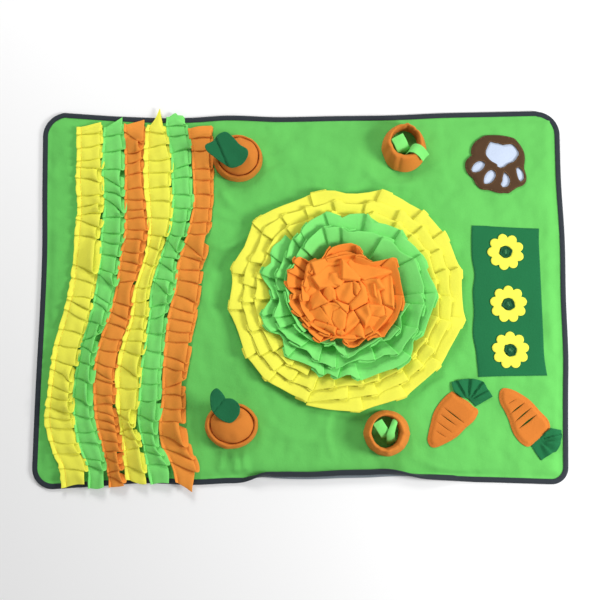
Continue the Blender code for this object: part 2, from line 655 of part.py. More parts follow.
def make_felt_shapes():
    windows = [PAW_PAD] + [oval(*toe) for toe in TOES]
    flat_piece("paw_white", shrunk(PAW, PAW_LINING_INSET), ON_PANEL, PAW_LINING, "white", fine=1)
    paw_bottom = ON_PANEL + PAW_LINING + GAP
    flat_piece("paw_brown", PAW, paw_bottom, FELT, "brown", holes=windows, fine=1)
    flat_piece("felt_panel", FELT_PANEL, ON_PANEL, PANEL, "dark_green", fine=1)
    flower_bottom = ON_PANEL + PANEL + GAP
    for number, (x, y) in enumerate(FLOWERS, start=1):
        hole = oval(x, y, PETAL_HOLE, PETAL_HOLE, 0)
        flat_piece(f"flower_{number}", petal_outline(x, y), flower_bottom, FELT, "yellow",
                   holes=[hole], fine=1)
        heart = [(radius, PANEL + z) for z, radius in FLOWER_HEART]
        loft(f"flower_heart_{number}", rings_at((x, y), heart), "dark_green")
    flat_piece("carrot_back", CARROT_BACK, ON_PANEL, FELT, "orange",
               holes=[slit_hole(*row) for row in CARROT_BACK_SLITS])
    flat_piece("carrot_back_leaves", CARROT_BACK_LEAVES, ON_PANEL, FELT, "dark_green")
    flat_piece("carrot_front", CARROT_FRONT, ON_PANEL, FELT, "orange",
               holes=[slit_hole(*row) for row in CARROT_FRONT_SLITS])
    flat_piece("carrot_front_leaves", CARROT_FRONT_LEAVES, ON_PANEL, FELT, "dark_green")


clear_scene()
MAT = new_collection("snuffle_mat")
make_mat()
make_strips()
make_flower()
make_pockets()
make_felt_shapes()
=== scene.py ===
# %% [markdown]
# # A snuffle mat
# A snuffle mat is a fleece play mat: dry treats are hidden in its ruffles and pockets, and a dog
# finds them by nose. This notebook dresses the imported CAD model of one. The CAD gives every piece
# its place and its rough solid; here each piece is made again as soft cloth, in the same frame.
# Tables are in millimetres, because that is how cloth is measured, or in pixels of the photograph
# where a comment says so; meshes are made in metres.

# %% Load the frame
import math

import bpy
import numpy as np
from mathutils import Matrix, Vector
from mathutils.geometry import delaunay_2d_cdt


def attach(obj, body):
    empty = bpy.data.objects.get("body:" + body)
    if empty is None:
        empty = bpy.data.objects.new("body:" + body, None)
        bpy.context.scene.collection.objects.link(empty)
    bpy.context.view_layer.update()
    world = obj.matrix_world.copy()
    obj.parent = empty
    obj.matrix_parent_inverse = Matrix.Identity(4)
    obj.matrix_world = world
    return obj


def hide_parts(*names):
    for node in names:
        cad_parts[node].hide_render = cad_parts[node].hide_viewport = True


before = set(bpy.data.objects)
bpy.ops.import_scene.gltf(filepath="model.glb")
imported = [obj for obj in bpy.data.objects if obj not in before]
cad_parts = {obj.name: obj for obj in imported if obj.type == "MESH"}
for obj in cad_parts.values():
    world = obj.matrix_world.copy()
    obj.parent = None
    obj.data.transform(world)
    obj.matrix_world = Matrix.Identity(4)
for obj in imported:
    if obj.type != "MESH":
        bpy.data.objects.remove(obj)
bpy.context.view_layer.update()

# %% [markdown]
# ## The camera
# The photograph was taken from almost straight above, by a camera about two metres away that leans
# a little towards the front edge. Its field of view follows from the mat's known size. The same
# numbers turn a place in the photograph into a place on the mat, which is how folds were placed.

# %% Camera and places in the photograph
CAMERA_AWAY = 2.0  # metres from the lens to the mat
CAMERA_LEAN = math.radians(6.7)  # away from straight down
AIM = (-0.004, -0.007)  # where the lens looks, on the mat
PICTURE = 600  # pixels on each side of the photograph
FOCAL = 1042.0  # focal length in those pixels
SENSOR = 36.0  # width of the camera's sensor in millimetres


def put(name, data):
    """A new object in the scene, at the origin."""
    made = bpy.data.objects.new(name, data)
    bpy.context.scene.collection.objects.link(made)
    return made


camera_data = bpy.data.cameras.new("camera")
camera_data.sensor_width = SENSOR
camera_data.lens = SENSOR * FOCAL / PICTURE
camera = put("camera", camera_data)
camera.location = (AIM[0], AIM[1] - CAMERA_AWAY * math.sin(CAMERA_LEAN),
                   CAMERA_AWAY * math.cos(CAMERA_LEAN))
camera.rotation_euler = (CAMERA_LEAN, 0.0, 0.0)
bpy.context.scene.camera = camera


def from_photo(u, v, height=3.0):
    """Millimetres on the mat for a pixel of the photograph, for a point at that height."""
    side, up = (np.asarray(u) - PICTURE / 2) / FOCAL, (PICTURE / 2 - np.asarray(v)) / FOCAL
    cos, sin = math.cos(CAMERA_LEAN), math.sin(CAMERA_LEAN)
    reach = (camera.location.z * 1000 - height) / (cos - up * sin)
    return (camera.location.x * 1000 + reach * side,
            camera.location.y * 1000 + reach * (up * cos + sin))


print("the picture's middle lies at", [round(float(c), 1) for c in from_photo(300, 300)], "mm")

# %% [markdown]
# ## Floor and light
# A plain white floor under white light from all around. A strong soft lamp stands low at the
# right, so that every fold casts a small shadow; a weaker one at the back and a faint one at the
# front open the shadows. The colours of the cloth are strong, so the picture is shown without a
# film look.

# %% Floor, lamps and sky
FLOOR_WHITE = 0.90
FLOOR_HALF = 6.0  # metres from the floor's middle to its sides
SKY = 0.37
# name, place and size in metres, power in watts
LAMPS = (("lamp_right", (1.7, -0.3, 1.05), 0.6, 35.0),
         ("lamp_back", (-0.5, 1.45, 1.3), 0.7, 18.0),
         ("lamp_front", (-0.35, -1.6, 1.3), 0.9, 3.0))

bpy.context.scene.view_settings.view_transform = "Standard"
world = bpy.data.worlds.new("studio")
world.use_nodes = True
world.node_tree.nodes["Background"].inputs["Color"].default_value = (1.0, 1.0, 1.0, 1.0)
world.node_tree.nodes["Background"].inputs["Strength"].default_value = SKY
bpy.context.scene.world = world
for name, place, size, power in LAMPS:
    lamp_data = bpy.data.lights.new(name, "AREA")
    lamp_data.size = size
    lamp_data.energy = power
    lamp = put(name, lamp_data)
    lamp.location = place
    lamp.rotation_euler = (-Vector(place)).to_track_quat("-Z", "Y").to_euler()

floor_mesh = bpy.data.meshes.new("floor")
floor_mesh.from_pydata([(x * FLOOR_HALF, y * FLOOR_HALF, 0.0)
                        for x, y in ((-1, -1), (1, -1), (1, 1), (-1, 1))], [], [(0, 1, 2, 3)])
put("floor", floor_mesh)
print(len(LAMPS), "lamps and a floor")

# %% [markdown]
# ## A way to write material maths
# A material is a net of small nodes. Written one by one they are hard to read, so this class wraps
# a node's output: plus, minus and times on it add Math nodes, and one method adds any other node.


# %% A value that can be reckoned with
class Shade:
    """An output in a material's nodes, or the empty start from which its first nodes are made."""

    def __init__(self, tree, socket=None):
        self.tree = tree
        self.socket = socket

    def node(self, kind, settings, inputs, output=0):
        """A node of that kind; settings come first, then the values or links of its inputs."""
        made = self.tree.nodes.new(kind)
        for key, value in settings.items():
            if key == "stops":
                for stop, (place, colour) in zip(made.color_ramp.elements, value):
                    stop.position = place
                    stop.color = colour
            else:
                setattr(made, key, value)
        for key, value in inputs.items():
            if isinstance(value, Shade):
                self.tree.links.new(value.socket, made.inputs[key])
            else:
                made.inputs[key].default_value = value
        return Shade(self.tree, made.outputs[output])

    def maths(self, operation, first, second):
        return self.node("ShaderNodeMath", {"operation": operation}, {0: first, 1: second})

    def __add__(self, other):
        return self.maths("ADD", self, other)

    def __sub__(self, other):
        return self.maths("SUBTRACT", self, other)

    def __rsub__(self, other):
        return self.maths("SUBTRACT", other, self)

    def __mul__(self, other):
        return self.maths("MULTIPLY", self, other)

    __radd__ = __add__
    __rmul__ = __mul__


def linear(code):
    """A colour written as six hex digits, as the numbers that a shader wants."""
    channels = [int(code[i:i + 2], 16) / 255.0 for i in (0, 2, 4)]
    return [c / 12.92 if c <= 0.04045 else ((c + 0.055) / 1.055) ** 2.4 for c in channels]


def tone(code, factor):
    """A lighter or darker tone of a colour."""
    return (*[min(c * factor, 1.0) for c in linear(code)], 1.0)


def between(factor, first, second):
    """A colour between two, on a Mix node: its sockets 6 and 7 are the colours, 2 is the result."""
    return factor.node("ShaderNodeMix", {"data_type": "RGBA"}, {0: factor, 6: first, 7: second}, 2)


print("the ground's green, as a shader wants it:", [round(c, 3) for c in linear("62C058")])

# %% [markdown]
# ## Fleece and felt
# Both are mats of short fibres. Fleece is brushed: its surface is soft, a little uneven in colour,
# and its fibres catch light at grazing angles, which the sheen gives. Felt is denser and flatter,
# with a coarser fleck. The bump comes from noise at the size of the fibre tufts; a photograph of
# cloth would look sharper close by, but noise has no seams and follows any fold.


# %% Cloth materials
DENT = 40.0  # mm from dent to dent in crumpled fleece


def blank(name, roughness):
    """A new material with its node tree's start and its main shader."""
    material = bpy.data.materials.new(name)
    material.use_nodes = True
    shader = material.node_tree.nodes["Principled BSDF"]
    shader.inputs["Roughness"].default_value = roughness
    return material, Shade(material.node_tree), shader


def noise(start, place, scale, detail=3.0, rough=0.6):
    """Noise from 0 to 1 whose lumps are about one part in scale of a metre."""
    return start.node("ShaderNodeTexNoise", {},
                      {"Vector": place, "Scale": scale, "Detail": detail, "Roughness": rough})


def dress(shader, colour, strength, depth, height):
    """Gives a shader its colour and its bump; a height of 1 is depth metres high."""
    bump = colour.node("ShaderNodeBump", {},
                       {"Strength": strength, "Distance": depth, "Height": height})
    for made, key in ((colour, "Base Color"), (bump, "Normal")):
        made.tree.links.new(made.socket, shader.inputs[key])


def fibre_cloth(name, code, tuft, fleck, sheen, bump, mottle_and_shade=0.10, patch=36.0, crumple=0.0):
    """Brushed or pressed fibres: tuft is the size of a lump in mm, fleck the change in colour.

    The large patches change the colour: at random in felt, as painted sheen and shade where a
    fleece's nap lies another way, and on the ground as painted shade of its soft creases. patch is
    their size in mm. crumple is how deep the faint dents of handled cloth are.
    """
    material, start, shader = blank(name, 0.95)
    place = start.node("ShaderNodeTexCoord", {}, {}, "Object")
    fine = noise(start, place, 1000.0 / tuft, 4.0, 0.7)
    broad_mottle_and_shade = noise(start, place, 1000.0 / patch, 2.0)
    # large patches: random in felt, painted sheen and shade in fleece, painted crease shade on the
    # ground
    blend = fine * fleck + broad_mottle_and_shade * mottle_and_shade + (0.5 - 0.5 * fleck - 0.5 * mottle_and_shade)
    colour = between(blend, tone(code, 0.72), tone(code, 1.28))
    nap = noise(start, place, 1000.0 / (tuft * 3.5), 3.0, 0.6)
    height = fine * 0.6 + nap * 0.9
    if crumple:
        height = height + noise(start, place, 1000.0 / DENT, 1.0, 0.45) * crumple
    dress(shader, colour, bump, 0.0012, height)
    shader.inputs["Sheen Weight"].default_value = sheen
    shader.inputs["Sheen Roughness"].default_value = 0.45
    shader.inputs["Sheen Tint"].default_value = tone(code, 1.6)
    return material


print("dents in the fleece every", DENT, "mm")

# %% Fleece, felt and floor
FLEECE = {"tuft": 1.5, "fleck": 0.30, "sheen": 0.25, "bump": 0.35}
# the ground's strong patchy colour is painted shade, for the soft shading of its creases
GROUND = {**FLEECE, "mottle_and_shade": 0.34, "patch": 85.0, "crumple": 18.0}
FELT = {"tuft": 1.0, "fleck": 0.45, "sheen": 0.08, "bump": 0.45, "mottle_and_shade": 0.16}
(ground_fleece, yellow_fleece, green_fleece, orange_fleece, pocket_fleece, flower_fleece,
 panel_felt, leaf_felt, carrot_felt, heart_felt, yellow_felt, brown_felt, white_felt) = (
    fibre_cloth(name, code, **kind) for name, code, kind in (
        ("ground_fleece", "62C058", GROUND), ("yellow_fleece", "F8F24E", FLEECE),
        ("light_green_fleece", "7ADD6F", FLEECE), ("orange_fleece", "F39134", FLEECE),
        ("pocket_fleece", "CF7A27", FLEECE), ("flower_orange_fleece", "F98A2B", FLEECE),
        ("dark_green_felt", "096A3A", FELT), ("leaf_green_felt", "0B683C", FELT),
        ("carrot_felt", "CE7524", FELT), ("deep_green_felt", "07512C", FELT),
        ("yellow_felt", "F8F24E", FELT), ("brown_felt", "4C3218", FELT),
        ("white_felt", "C3D0E8", FELT)))
floor_paint, _, floor_shader = blank("floor_white", 0.9)
floor_shader.inputs["Base Color"].default_value = (FLOOR_WHITE, FLOOR_WHITE, FLOOR_WHITE, 1.0)
floor_mesh.materials.append(floor_paint)
print(len(bpy.data.materials), "materials so far")

# %% [markdown]
# ## The tape and the backing
# The edge is bound with a slate tape woven in fine ribs. The backing is a dark coated cloth with
# rows of small pale anti-slip dots; it shows where the front edge curls up. Both patterns follow
# the cloth, so they read the pieces' own UV maps, which count metres of cloth.

# %% Woven tape and dotted backing
TAPE_RIB = 1.1  # mm from rib to rib
DOT_STEP, DOT_RADIUS = 5.2, 1.1  # mm from dot to dot, and of each dot


def wave(start, coordinate, step):
    """A ripple from 0 to 1 that repeats every step millimetres of cloth."""
    return start.node("ShaderNodeMath", {"operation": "SINE"},
                      {0: coordinate * (2000.0 * math.pi / step)}) * 0.5 + 0.5


def woven_tape(name, code):
    """Fine slanting ribs, a little uneven in colour."""
    material, start, shader = blank(name, 0.75)
    cloth = start.node("ShaderNodeUVMap", {"uv_map": "cloth"}, {})
    along = start.node("ShaderNodeSeparateXYZ", {}, {"Vector": cloth}, "X")
    across = start.node("ShaderNodeSeparateXYZ", {}, {"Vector": cloth}, "Y")
    ribs = wave(start, along + across * 0.35, TAPE_RIB) * wave(start, across, TAPE_RIB * 0.8)
    specks = noise(start, cloth, 900.0)
    colour = between(ribs * 0.45 + specks * 0.5, tone(code, 0.65), tone(code, 1.5))
    dress(shader, colour, 0.35, 0.0006, ribs + specks * 0.4)
    shader.inputs["Sheen Weight"].default_value = 0.15
    return material


def dotted_backing(name, code, dot_code):
    """Staggered dots: each cell of a grid and of its shifted twin holds one round dot."""
    material, start, shader = blank(name, 0.7)
    cloth = start.node("ShaderNodeUVMap", {"uv_map": "cloth"}, {})
    step, radius = DOT_STEP / 1000.0, DOT_RADIUS / 1000.0
    dots = 0.0
    for shift in (0.0, step / 2):
        moved = start.node("ShaderNodeVectorMath", {"operation": "ADD"},
                           {0: cloth, 1: (shift, shift, 0.0)})
        wrapped = start.node("ShaderNodeVectorMath", {"operation": "WRAP"},
                             {0: moved, 1: (step, step, 1.0), 2: (0.0, 0.0, 0.0)})
        away = start.node("ShaderNodeVectorMath", {"operation": "DISTANCE"},
                          {0: wrapped, 1: (step / 2, step / 2, 0.0)}, "Value")
        dots = dots + start.maths("LESS_THAN", away, radius)
    specks = noise(start, cloth, 700.0)
    colour = between(dots, between(specks, tone(code, 0.7), tone(code, 1.3)), tone(dot_code, 1.0))
    dress(shader, colour, 0.5, 0.0005, dots + specks * 0.3)
    return material


slate_tape = woven_tape("slate_tape", "15212B")
dotted_cloth = dotted_backing("dotted_backing", "36454F", "B9C4CC")
print(len(bpy.data.materials), "materials with the tape and the backing")

# %% [markdown]
# ## Thick cloth from a grid of points
# Most pieces here are sheets whose shape is known as a grid of points: rows across the cloth and
# columns along it. This helper gives such a grid its thickness and rounds its cut edges, which is
# faster and tidier than a modifier, and keeps a UV map in metres of cloth. A second helper
# measures how large a folded sheet would be if it were laid out flat.


# %% Grid to cloth
def unit(vectors):
    """The same directions, each with length 1."""
    return vectors / np.maximum(np.linalg.norm(vectors, axis=-1, keepdims=True), 1e-9)


def finish_mesh(name, points, faces, material, uv=None, smooth=60.0):
    """A smooth-shaded object from points in mm; its faces are turned outwards."""
    points = np.asarray(points, float) / 1000.0
    triangles = [(f[0], f[i], f[i + 1]) for f in faces for i in range(1, len(f) - 1)]
    a, b, c = (points[[t[i] for t in triangles]] for i in range(3))
    if float(np.einsum("ij,ij->i", a, np.cross(b, c)).sum()) < 0.0:
        faces = [tuple(reversed(f)) for f in faces]
    mesh = bpy.data.meshes.new(name)
    mesh.from_pydata(points.tolist(), [], faces)
    if uv is not None:
        layer = mesh.uv_layers.new(name="cloth")
        corners = np.zeros(len(mesh.loops), dtype=np.int32)
        mesh.loops.foreach_get("vertex_index", corners)
        layer.data.foreach_set("uv", np.asarray(uv, float)[corners].ravel() / 1000.0)
    mesh.shade_smooth()
    mesh.set_sharp_from_angle(angle=math.radians(smooth))
    mesh.materials.append(material)
    return put(name, mesh)


def thick_cloth(name, grid, thickness, material, uv=None, tube=False):
    """A closed sheet with rounded edges from a grid (rows, columns, xyz) of points in mm.

    In a tube the last column joins the first one again.
    """
    rows, columns = grid.shape[:2]
    half = thickness / 2.0
    along = np.gradient(grid, axis=1)
    if tube:
        along = (np.roll(grid, -1, axis=1) - np.roll(grid, 1, axis=1)) / 2.0
    normal = unit(np.cross(along, np.gradient(grid, axis=0)))
    near, far = unit(grid[0] - grid[1]), unit(grid[-1] - grid[-2])
    soft = 0.7 * half
    ring = [grid + normal * half]
    ring += [(grid[-1] + far * soft + normal[-1] * soft)[None], (grid[-1] + far * half)[None],
             (grid[-1] + far * soft - normal[-1] * soft)[None]]
    ring += [(grid - normal * half)[::-1]]
    ring += [(grid[0] + near * soft - normal[0] * soft)[None], (grid[0] + near * half)[None],
             (grid[0] + near * soft + normal[0] * soft)[None]]
    points = np.concatenate(ring)
    around = len(points)
    faces = []
    for j in range(around):
        here, there = j * columns, (j + 1) % around * columns
        for i in range(columns if tube else columns - 1):
            n = (i + 1) % columns
            faces.append((here + i, here + n, there + n, there + i))
    last = 2 * rows + 2  # ring place of the bottom's first row
    for end in () if tube else (0, columns - 1):
        at = [j * columns + end for j in range(around)]
        caps = [(at[j], at[j + 1], at[last - j - 1], at[last - j]) for j in range(rows - 1)]
        caps.append(tuple(at[j] for j in range(rows - 1, rows + 4)))
        caps.append(tuple(at[j % around] for j in range(last, around + 1)))
        faces += [tuple(reversed(f)) for f in caps] if end == 0 else caps
    flat = None
    if uv is not None:
        flat = np.concatenate([uv, np.repeat(uv[-1:], 3, 0), uv[::-1], np.repeat(uv[:1], 3, 0)])
        flat = flat.reshape(-1, 2)
    return finish_mesh(name, points.reshape(-1, 3), faces, material, flat)


def laid_out(grid, row):
    """Width and length in metres of a folded sheet: across its grid, and along one row of it."""
    across = np.linalg.norm(np.diff(grid, axis=0), axis=2).sum(axis=0).mean() / 1000
    along = np.linalg.norm(np.diff(grid[row], axis=0), axis=1).sum() / 1000
    return round(float(across), 3), round(float(along), 2)


def stands_for(piece, node):
    """The piece moves with the mat and takes the place of that solid of the CAD model."""
    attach(piece, "root")
    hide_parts(node)


print("cloth helpers ready")

# %% [markdown]
# ## Where the mat's surface is
# The mat was cut as a rectangle with round corners and lies a little wavy. Four tables give its
# sides as in the CAD. The front edge rolls up and back over itself, and the fleece has soft creases
# where the sewing pulls on it. Everything that is sewn on follows the same creases.

# %% Tables of the outline
BACKING, PANEL = 1.0, 1.5  # thickness of the backing and of the fleece
PANEL_MIDDLE, ON_PANEL = 2.05, 3.1  # heights of the fleece's middle and of what is sewn onto it
EDGE_RISE, TAPE_TOP = 1.3, 5.4  # rise of the sheets inside the tape, and height of its top
# sides: (place along the side, distance from the centre line)
FRONT = ((-468, -365), (-374, -359), (-300, -354), (-200, -357), (-125, -354), (-98, -355),
         (-75, -360), (-40, -366), (20, -368), (75, -367), (125, -366), (165, -363), (203, -358),
         (225, -354), (255, -351), (330, -352), (469, -356))
RIGHT = ((-324, 501), (-180, 505), (-130, 507), (0, 506), (110, 507), (230, 503), (318, 503))
BACK = ((457, 365), (365, 363), (276, 361), (188, 357), (60, 355), (-45, 353), (-155, 356),
        (-210, 352), (-353, 354), (-458, 361))
LEFT = ((314, -506), (200, -504), (80, -501), (-20, -502), (-180, -506), (-325, -508))
# x and y of a corner's centre, its radius, and the angle where it starts
CORNERS = ((469, -324, 32, -90), (457, 318, 46, 0), (-458, 314, 48, 90), (-468, -325, 40, 180))
# Front edge: (x, cloth in the curl, angle of the curl)
CURL = ((-125, 0, 0), (-98, 16, 60), (-75, 24, 115), (-40, 28, 140), (20, 29, 145), (75, 30, 155),
        (125, 30, 158), (165, 29, 142), (184, 27, 120), (203, 24, 95), (225, 21, 60), (255, 18, 32),
        (330, 0, 0))
CURL_RADIUS = 7.0
# Creases as seen in the photograph: (u, v, to u, v, height, half width in mm)
CREASES = (
    (221, 190, 233, 206, 3.2, 7), (215, 211, 246, 222, 2.4, 6), (214, 247, 247, 236, 3.0, 7),
    (219, 262, 214, 320, 1.8, 10), (252, 160, 300, 150, 2.2, 9), (262, 176, 330, 166, 2.6, 8),
    (300, 182, 372, 176, 2.0, 8), (330, 134, 372, 128, 1.8, 12), (362, 168, 416, 183, 3.0, 8),
    (420, 176, 470, 196, 2.0, 12), (438, 130, 448, 190, 1.8, 14), (232, 452, 236, 474, 3.4, 5),
    (222, 450, 220, 472, 2.6, 5), (246, 452, 250, 476, 2.0, 6), (198, 402, 203, 446, 3.0, 7),
    (262, 396, 300, 440, 1.6, 11), (331, 412, 336, 460, 2.2, 7), (420, 400, 446, 380, 1.8, 9),
    (300, 440, 352, 428, 1.5, 10), (410, 452, 500, 462, 1.6, 9), (64, 150, 60, 330, 1.4, 12),
    (52, 340, 62, 430, 1.6, 9), (476, 384, 560, 392, 1.4, 12), (548, 210, 552, 360, 1.2, 8))
CREASE_HEIGHT = 1.3  # all creases together
FLANKS = (0.6, 1.35)  # one flank of a crease is steeper than the other
SWELLS = ((85.0, 2.4, 5), (46.0, 4.2, 12), (26.0, 0.5, 8))  # mm between hills, height, seed
print(len(CREASES), "creases, and a front edge that curls up to", max(row[2] for row in CURL),
      "degrees")


# %% Outline, creases and the curled front edge
def table(rows, place, column=1):
    """A value of a table at places between its rows, on a smooth curve through them."""
    rows = np.array(sorted(rows), float)
    x, y = rows[:, 0], rows[:, column]
    slope = np.gradient(y, x)
    i = np.clip(np.searchsorted(x, place) - 1, 0, len(x) - 2)
    width = x[i + 1] - x[i]
    s = np.clip((place - x[i]) / width, 0.0, 1.0)
    return ((1 + 2 * s) * (1 - s) ** 2 * y[i] + s * (1 - s) ** 2 * width * slope[i]
            + s * s * (3 - 2 * s) * y[i + 1] + s * s * (s - 1) * width * slope[i + 1])


def smooth_step(low, high, value):
    """0 up to low, 1 from high on, and a smooth climb between them."""
    s = np.clip((value - low) / (high - low), 0.0, 1.0)
    return s * s * (3 - 2 * s)


def hills(x, y, cell, seed):
    """Smooth random hills from 0 to 1, the same every time for one seed."""
    heights = np.random.RandomState(seed).rand(40, 40)
    u, v = np.asarray(x) / cell + 17.3, np.asarray(y) / cell + 14.7
    i, j = np.floor(u).astype(int) % 39, np.floor(v).astype(int) % 39
    s, t = u - np.floor(u), v - np.floor(v)
    s, t = s * s * (3 - 2 * s), t * t * (3 - 2 * t)
    return ((heights[i, j] * (1 - s) + heights[i + 1, j] * s) * (1 - t)
            + (heights[i, j + 1] * (1 - s) + heights[i + 1, j + 1] * s) * t)


def edge_distance(x, y):
    """How far a point lies from the nearest side."""
    return np.minimum(np.minimum(table(BACK, x) - y, y - table(FRONT, x)),
                      np.minimum(table(RIGHT, y) - x, x - table(LEFT, y)))


def lift(x, y):
    """How much higher the fleece lies than a flat one: creases and gentle swells."""
    x, y = np.asarray(x, float), np.asarray(y, float)
    total = sum(height * hills(x, y, cell, seed) for cell, height, seed in SWELLS)
    for u0, v0, u1, v1, height, half in CREASES:
        (x0, x1), (y0, y1) = from_photo([u0, u1], [v0, v1])
        length = math.hypot(x1 - x0, y1 - y0)
        dx, dy = (x1 - x0) / length, (y1 - y0) / length
        along = ((x - x0) * dx + (y - y0) * dy) / length
        bend = 0.16 * length * np.sin(math.pi * np.clip(along, 0, 1)) * math.sin(u0 + v1)
        aside = (x - x0) * -dy + (y - y0) * dx - bend
        taper = smooth_step(-0.15, 0.25, along) * smooth_step(1.15, 0.75, along)
        sharp = np.where(aside > 0, *FLANKS) * half
        total = total + CREASE_HEIGHT * height * taper * np.exp(-(aside / sharp) ** 2)
    return total * smooth_step(9.0, 30.0, edge_distance(x, y))


def curled(points):
    """Rolls the front edge of flat points (..., 3) up and back, as it lies in the photograph."""
    x, y, z = points[..., 0], points[..., 1], points[..., 2]
    length, most = table(CURL, x), np.radians(table(CURL, x, 2))
    inside = (x > CURL[0][0]) & (x < CURL[-1][0]) & (y < 0.0)
    departure = table(FRONT, x) + length
    past = np.where(inside, np.maximum(departure - y, 0.0), 0.0)
    turn = np.minimum(past / CURL_RADIUS, np.maximum(most, 0.0))
    straight = past - turn * CURL_RADIUS
    rolled_y = departure - (CURL_RADIUS - z) * np.sin(turn) - straight * np.cos(turn)
    rolled_z = CURL_RADIUS - (CURL_RADIUS - z) * np.cos(turn) + straight * np.sin(turn)
    on = past > 0.0
    return np.stack([x, np.where(on, rolled_y, y), np.where(on, rolled_z, z)], axis=-1)


def arc(corner, inset, shares):
    """Points of a rounded corner, moved inwards."""
    x, y, radius, start = corner
    angle = np.radians(start + 90.0 * np.asarray(shares))
    return np.stack([x + (radius - inset) * np.cos(angle), y + (radius - inset) * np.sin(angle)], 1)


def side(rows, inset, steps, upright):
    """Points along one side of the outline, moved inwards."""
    place = np.linspace(rows[0][0], rows[-1][0], steps)
    away = table(rows, place)
    away = away - inset * np.sign(away)
    return np.stack([away, place] if upright else [place, away], axis=1)


print("the mat is", RIGHT[0][1] - LEFT[-1][1], "mm wide at the front")

# %% [markdown]
# ## The fleece ground and the backing
# Both were cut to one outline. A grid is stretched between the four sides, from corner to corner,
# as a Coons patch: each inner point is a blend of its places on the sides. The rows lie close
# together at the front, where the edge rolls over, and wider elsewhere.


# %% Ground and backing
def resample(points, count):
    """Points at even steps along a line."""
    run = np.concatenate([[0.0], np.cumsum(np.linalg.norm(np.diff(points, axis=0), axis=1))])
    place = np.asarray(count) * run[-1] if np.ndim(count) else np.linspace(0.0, run[-1], count)
    return np.stack([np.interp(place, run, points[:, i]) for i in range(points.shape[1])], axis=1)


def outline_parts(inset):
    """The four sides of the outline, each with half of the corner at its two ends."""
    first, last = np.linspace(0.5, 1.0, 9), np.linspace(0.0, 0.5, 9)
    sides = ((FRONT, 220, False), (RIGHT, 120, True), (BACK, 160, False), (LEFT, 120, True))
    return [np.concatenate([arc(CORNERS[k - 1], inset, first)[:-1],
                            side(rows, inset, steps, upright), arc(CORNERS[k], inset, last)[1:]])
            for k, (rows, steps, upright) in enumerate(sides)]


def patch(inset, steps_x, shares_y):
    """A grid (rows from front to back, columns from left to right) inside the outline."""
    front, right, back, left = outline_parts(inset)
    s = np.linspace(0.0, 1.0, steps_x)
    front, back = resample(front, s), resample(back[::-1], s)
    right, left = resample(right, shares_y), resample(left[::-1], shares_y)
    s, t = s[None, :, None], np.asarray(shares_y)[:, None, None]
    corners = ((1 - s) * (1 - t) * front[0] + s * (1 - t) * front[-1]
               + (1 - s) * t * back[0] + s * t * back[-1])
    return ((1 - t) * front[None] + t * back[None] + (1 - s) * left[:, None]
            + s * right[:, None] - corners)


SHEET_INSET = 2.3  # mm from the outline to the cut edge, inside the tape
DEEP = 735.0  # mm from the front edge to the back one
near_front = np.arange(0.0, 44.0, 2.0) / DEEP  # rows 2 mm apart where the edge rolls over
ground_rows, backing_rows = (np.concatenate([near_front, np.linspace(0.064, 1.0, count)])
                             for count in (130, 66))


def inside_tape(plan):
    """The sheets climb a little where the tape is folded under them."""
    return EDGE_RISE * smooth_step(16.0, 10.0, edge_distance(plan[..., 0], plan[..., 1]))


def flat_sheet(name, middle, thickness, steps_x, rows, material, raised):
    """A sheet of the mat's whole outline; a raised one has the creases of the fleece."""
    plan = patch(SHEET_INSET, steps_x, rows)
    height = middle + inside_tape(plan) + (lift(plan[..., 0], plan[..., 1]) if raised else 0.0)
    grid = curled(np.concatenate([plan, height[..., None]], axis=-1))
    return thick_cloth(name, grid, thickness, material, uv=plan)


ground = flat_sheet("fleece_ground", PANEL_MIDDLE, PANEL, 190, ground_rows, ground_fleece, True)
backing = flat_sheet("dotted_backing", BACKING / 2, BACKING, 150, backing_rows, dotted_cloth, False)
print("ground and backing:", len(ground.data.polygons) + len(backing.data.polygons), "faces")

# %% [markdown]
# ## The bound edge
# The tape is sewn on flat and folded over the edge, so its section is a narrow U on its side. Its
# section is swept round the outline, slightly crowned, and rolls up with the front edge.

# %% Tape round the edge
# (distance in from the outline, height) along the tape's section
TAPE_SECTION = ((10.0, 4.75), (8.6, 4.85), (6.5, 5.05), (4.0, 5.1), (2.0, 4.85), (0.9, 4.2),
                (0.5, 2.9), (0.7, 1.5), (1.6, 0.75), (4.0, 0.5), (7.0, 0.5), (10.0, 0.5))
TAPE = 0.9  # its thickness
TAPE_LONG = 3380.0  # once round the mat


def around(inset, count=900):
    """Points all round the outline; the last one is a step before the first one."""
    line = np.concatenate([part[:-1] for part in outline_parts(inset)])
    return resample(np.concatenate([line, line[:1]]), count + 1)[:-1]


stations = [around(inset) for inset, _ in TAPE_SECTION]
tape_grid = np.stack([np.concatenate([line, np.full((len(line), 1), z)], axis=1)
                      for line, (_, z) in zip(stations, TAPE_SECTION)])
pucker = hills(tape_grid[..., 0], tape_grid[..., 1], 9.0, 21) - 0.5
tape_grid[:5, :, 2] += 0.45 * pucker[:5]
across_tape = np.concatenate([[0.0], np.cumsum(np.hypot(*np.diff(np.array(TAPE_SECTION).T)))])
along_tape = np.linspace(0.0, TAPE_LONG, tape_grid.shape[1])
tape_uv = np.stack(np.broadcast_arrays(along_tape[None, :], across_tape[:, None]), axis=-1)
binding = thick_cloth("edge_tape", curled(tape_grid), TAPE, slate_tape, uv=tape_uv, tube=True)
print("tape:", len(binding.data.polygons), "faces")
for piece, node in ((ground, "ground_panel"), (backing, "backing"), (binding, "binding")):
    stands_for(piece, node)

# %% [markdown]
# ## Knife pleats
# Each strip is one long band of fleece, folded back and forth like roof tiles while it was sewn
# down. A pleat is made of five parts: the top layer, the round nose of the fold, the layer that
# runs back underneath, the hidden fold, and then the next top layer. At the seam the layers are
# pressed flat; towards the free edge the folds open. Each pleat's place and slant was read from the
# photograph, and a seeded draw gives the small differences that sewing by hand gives.

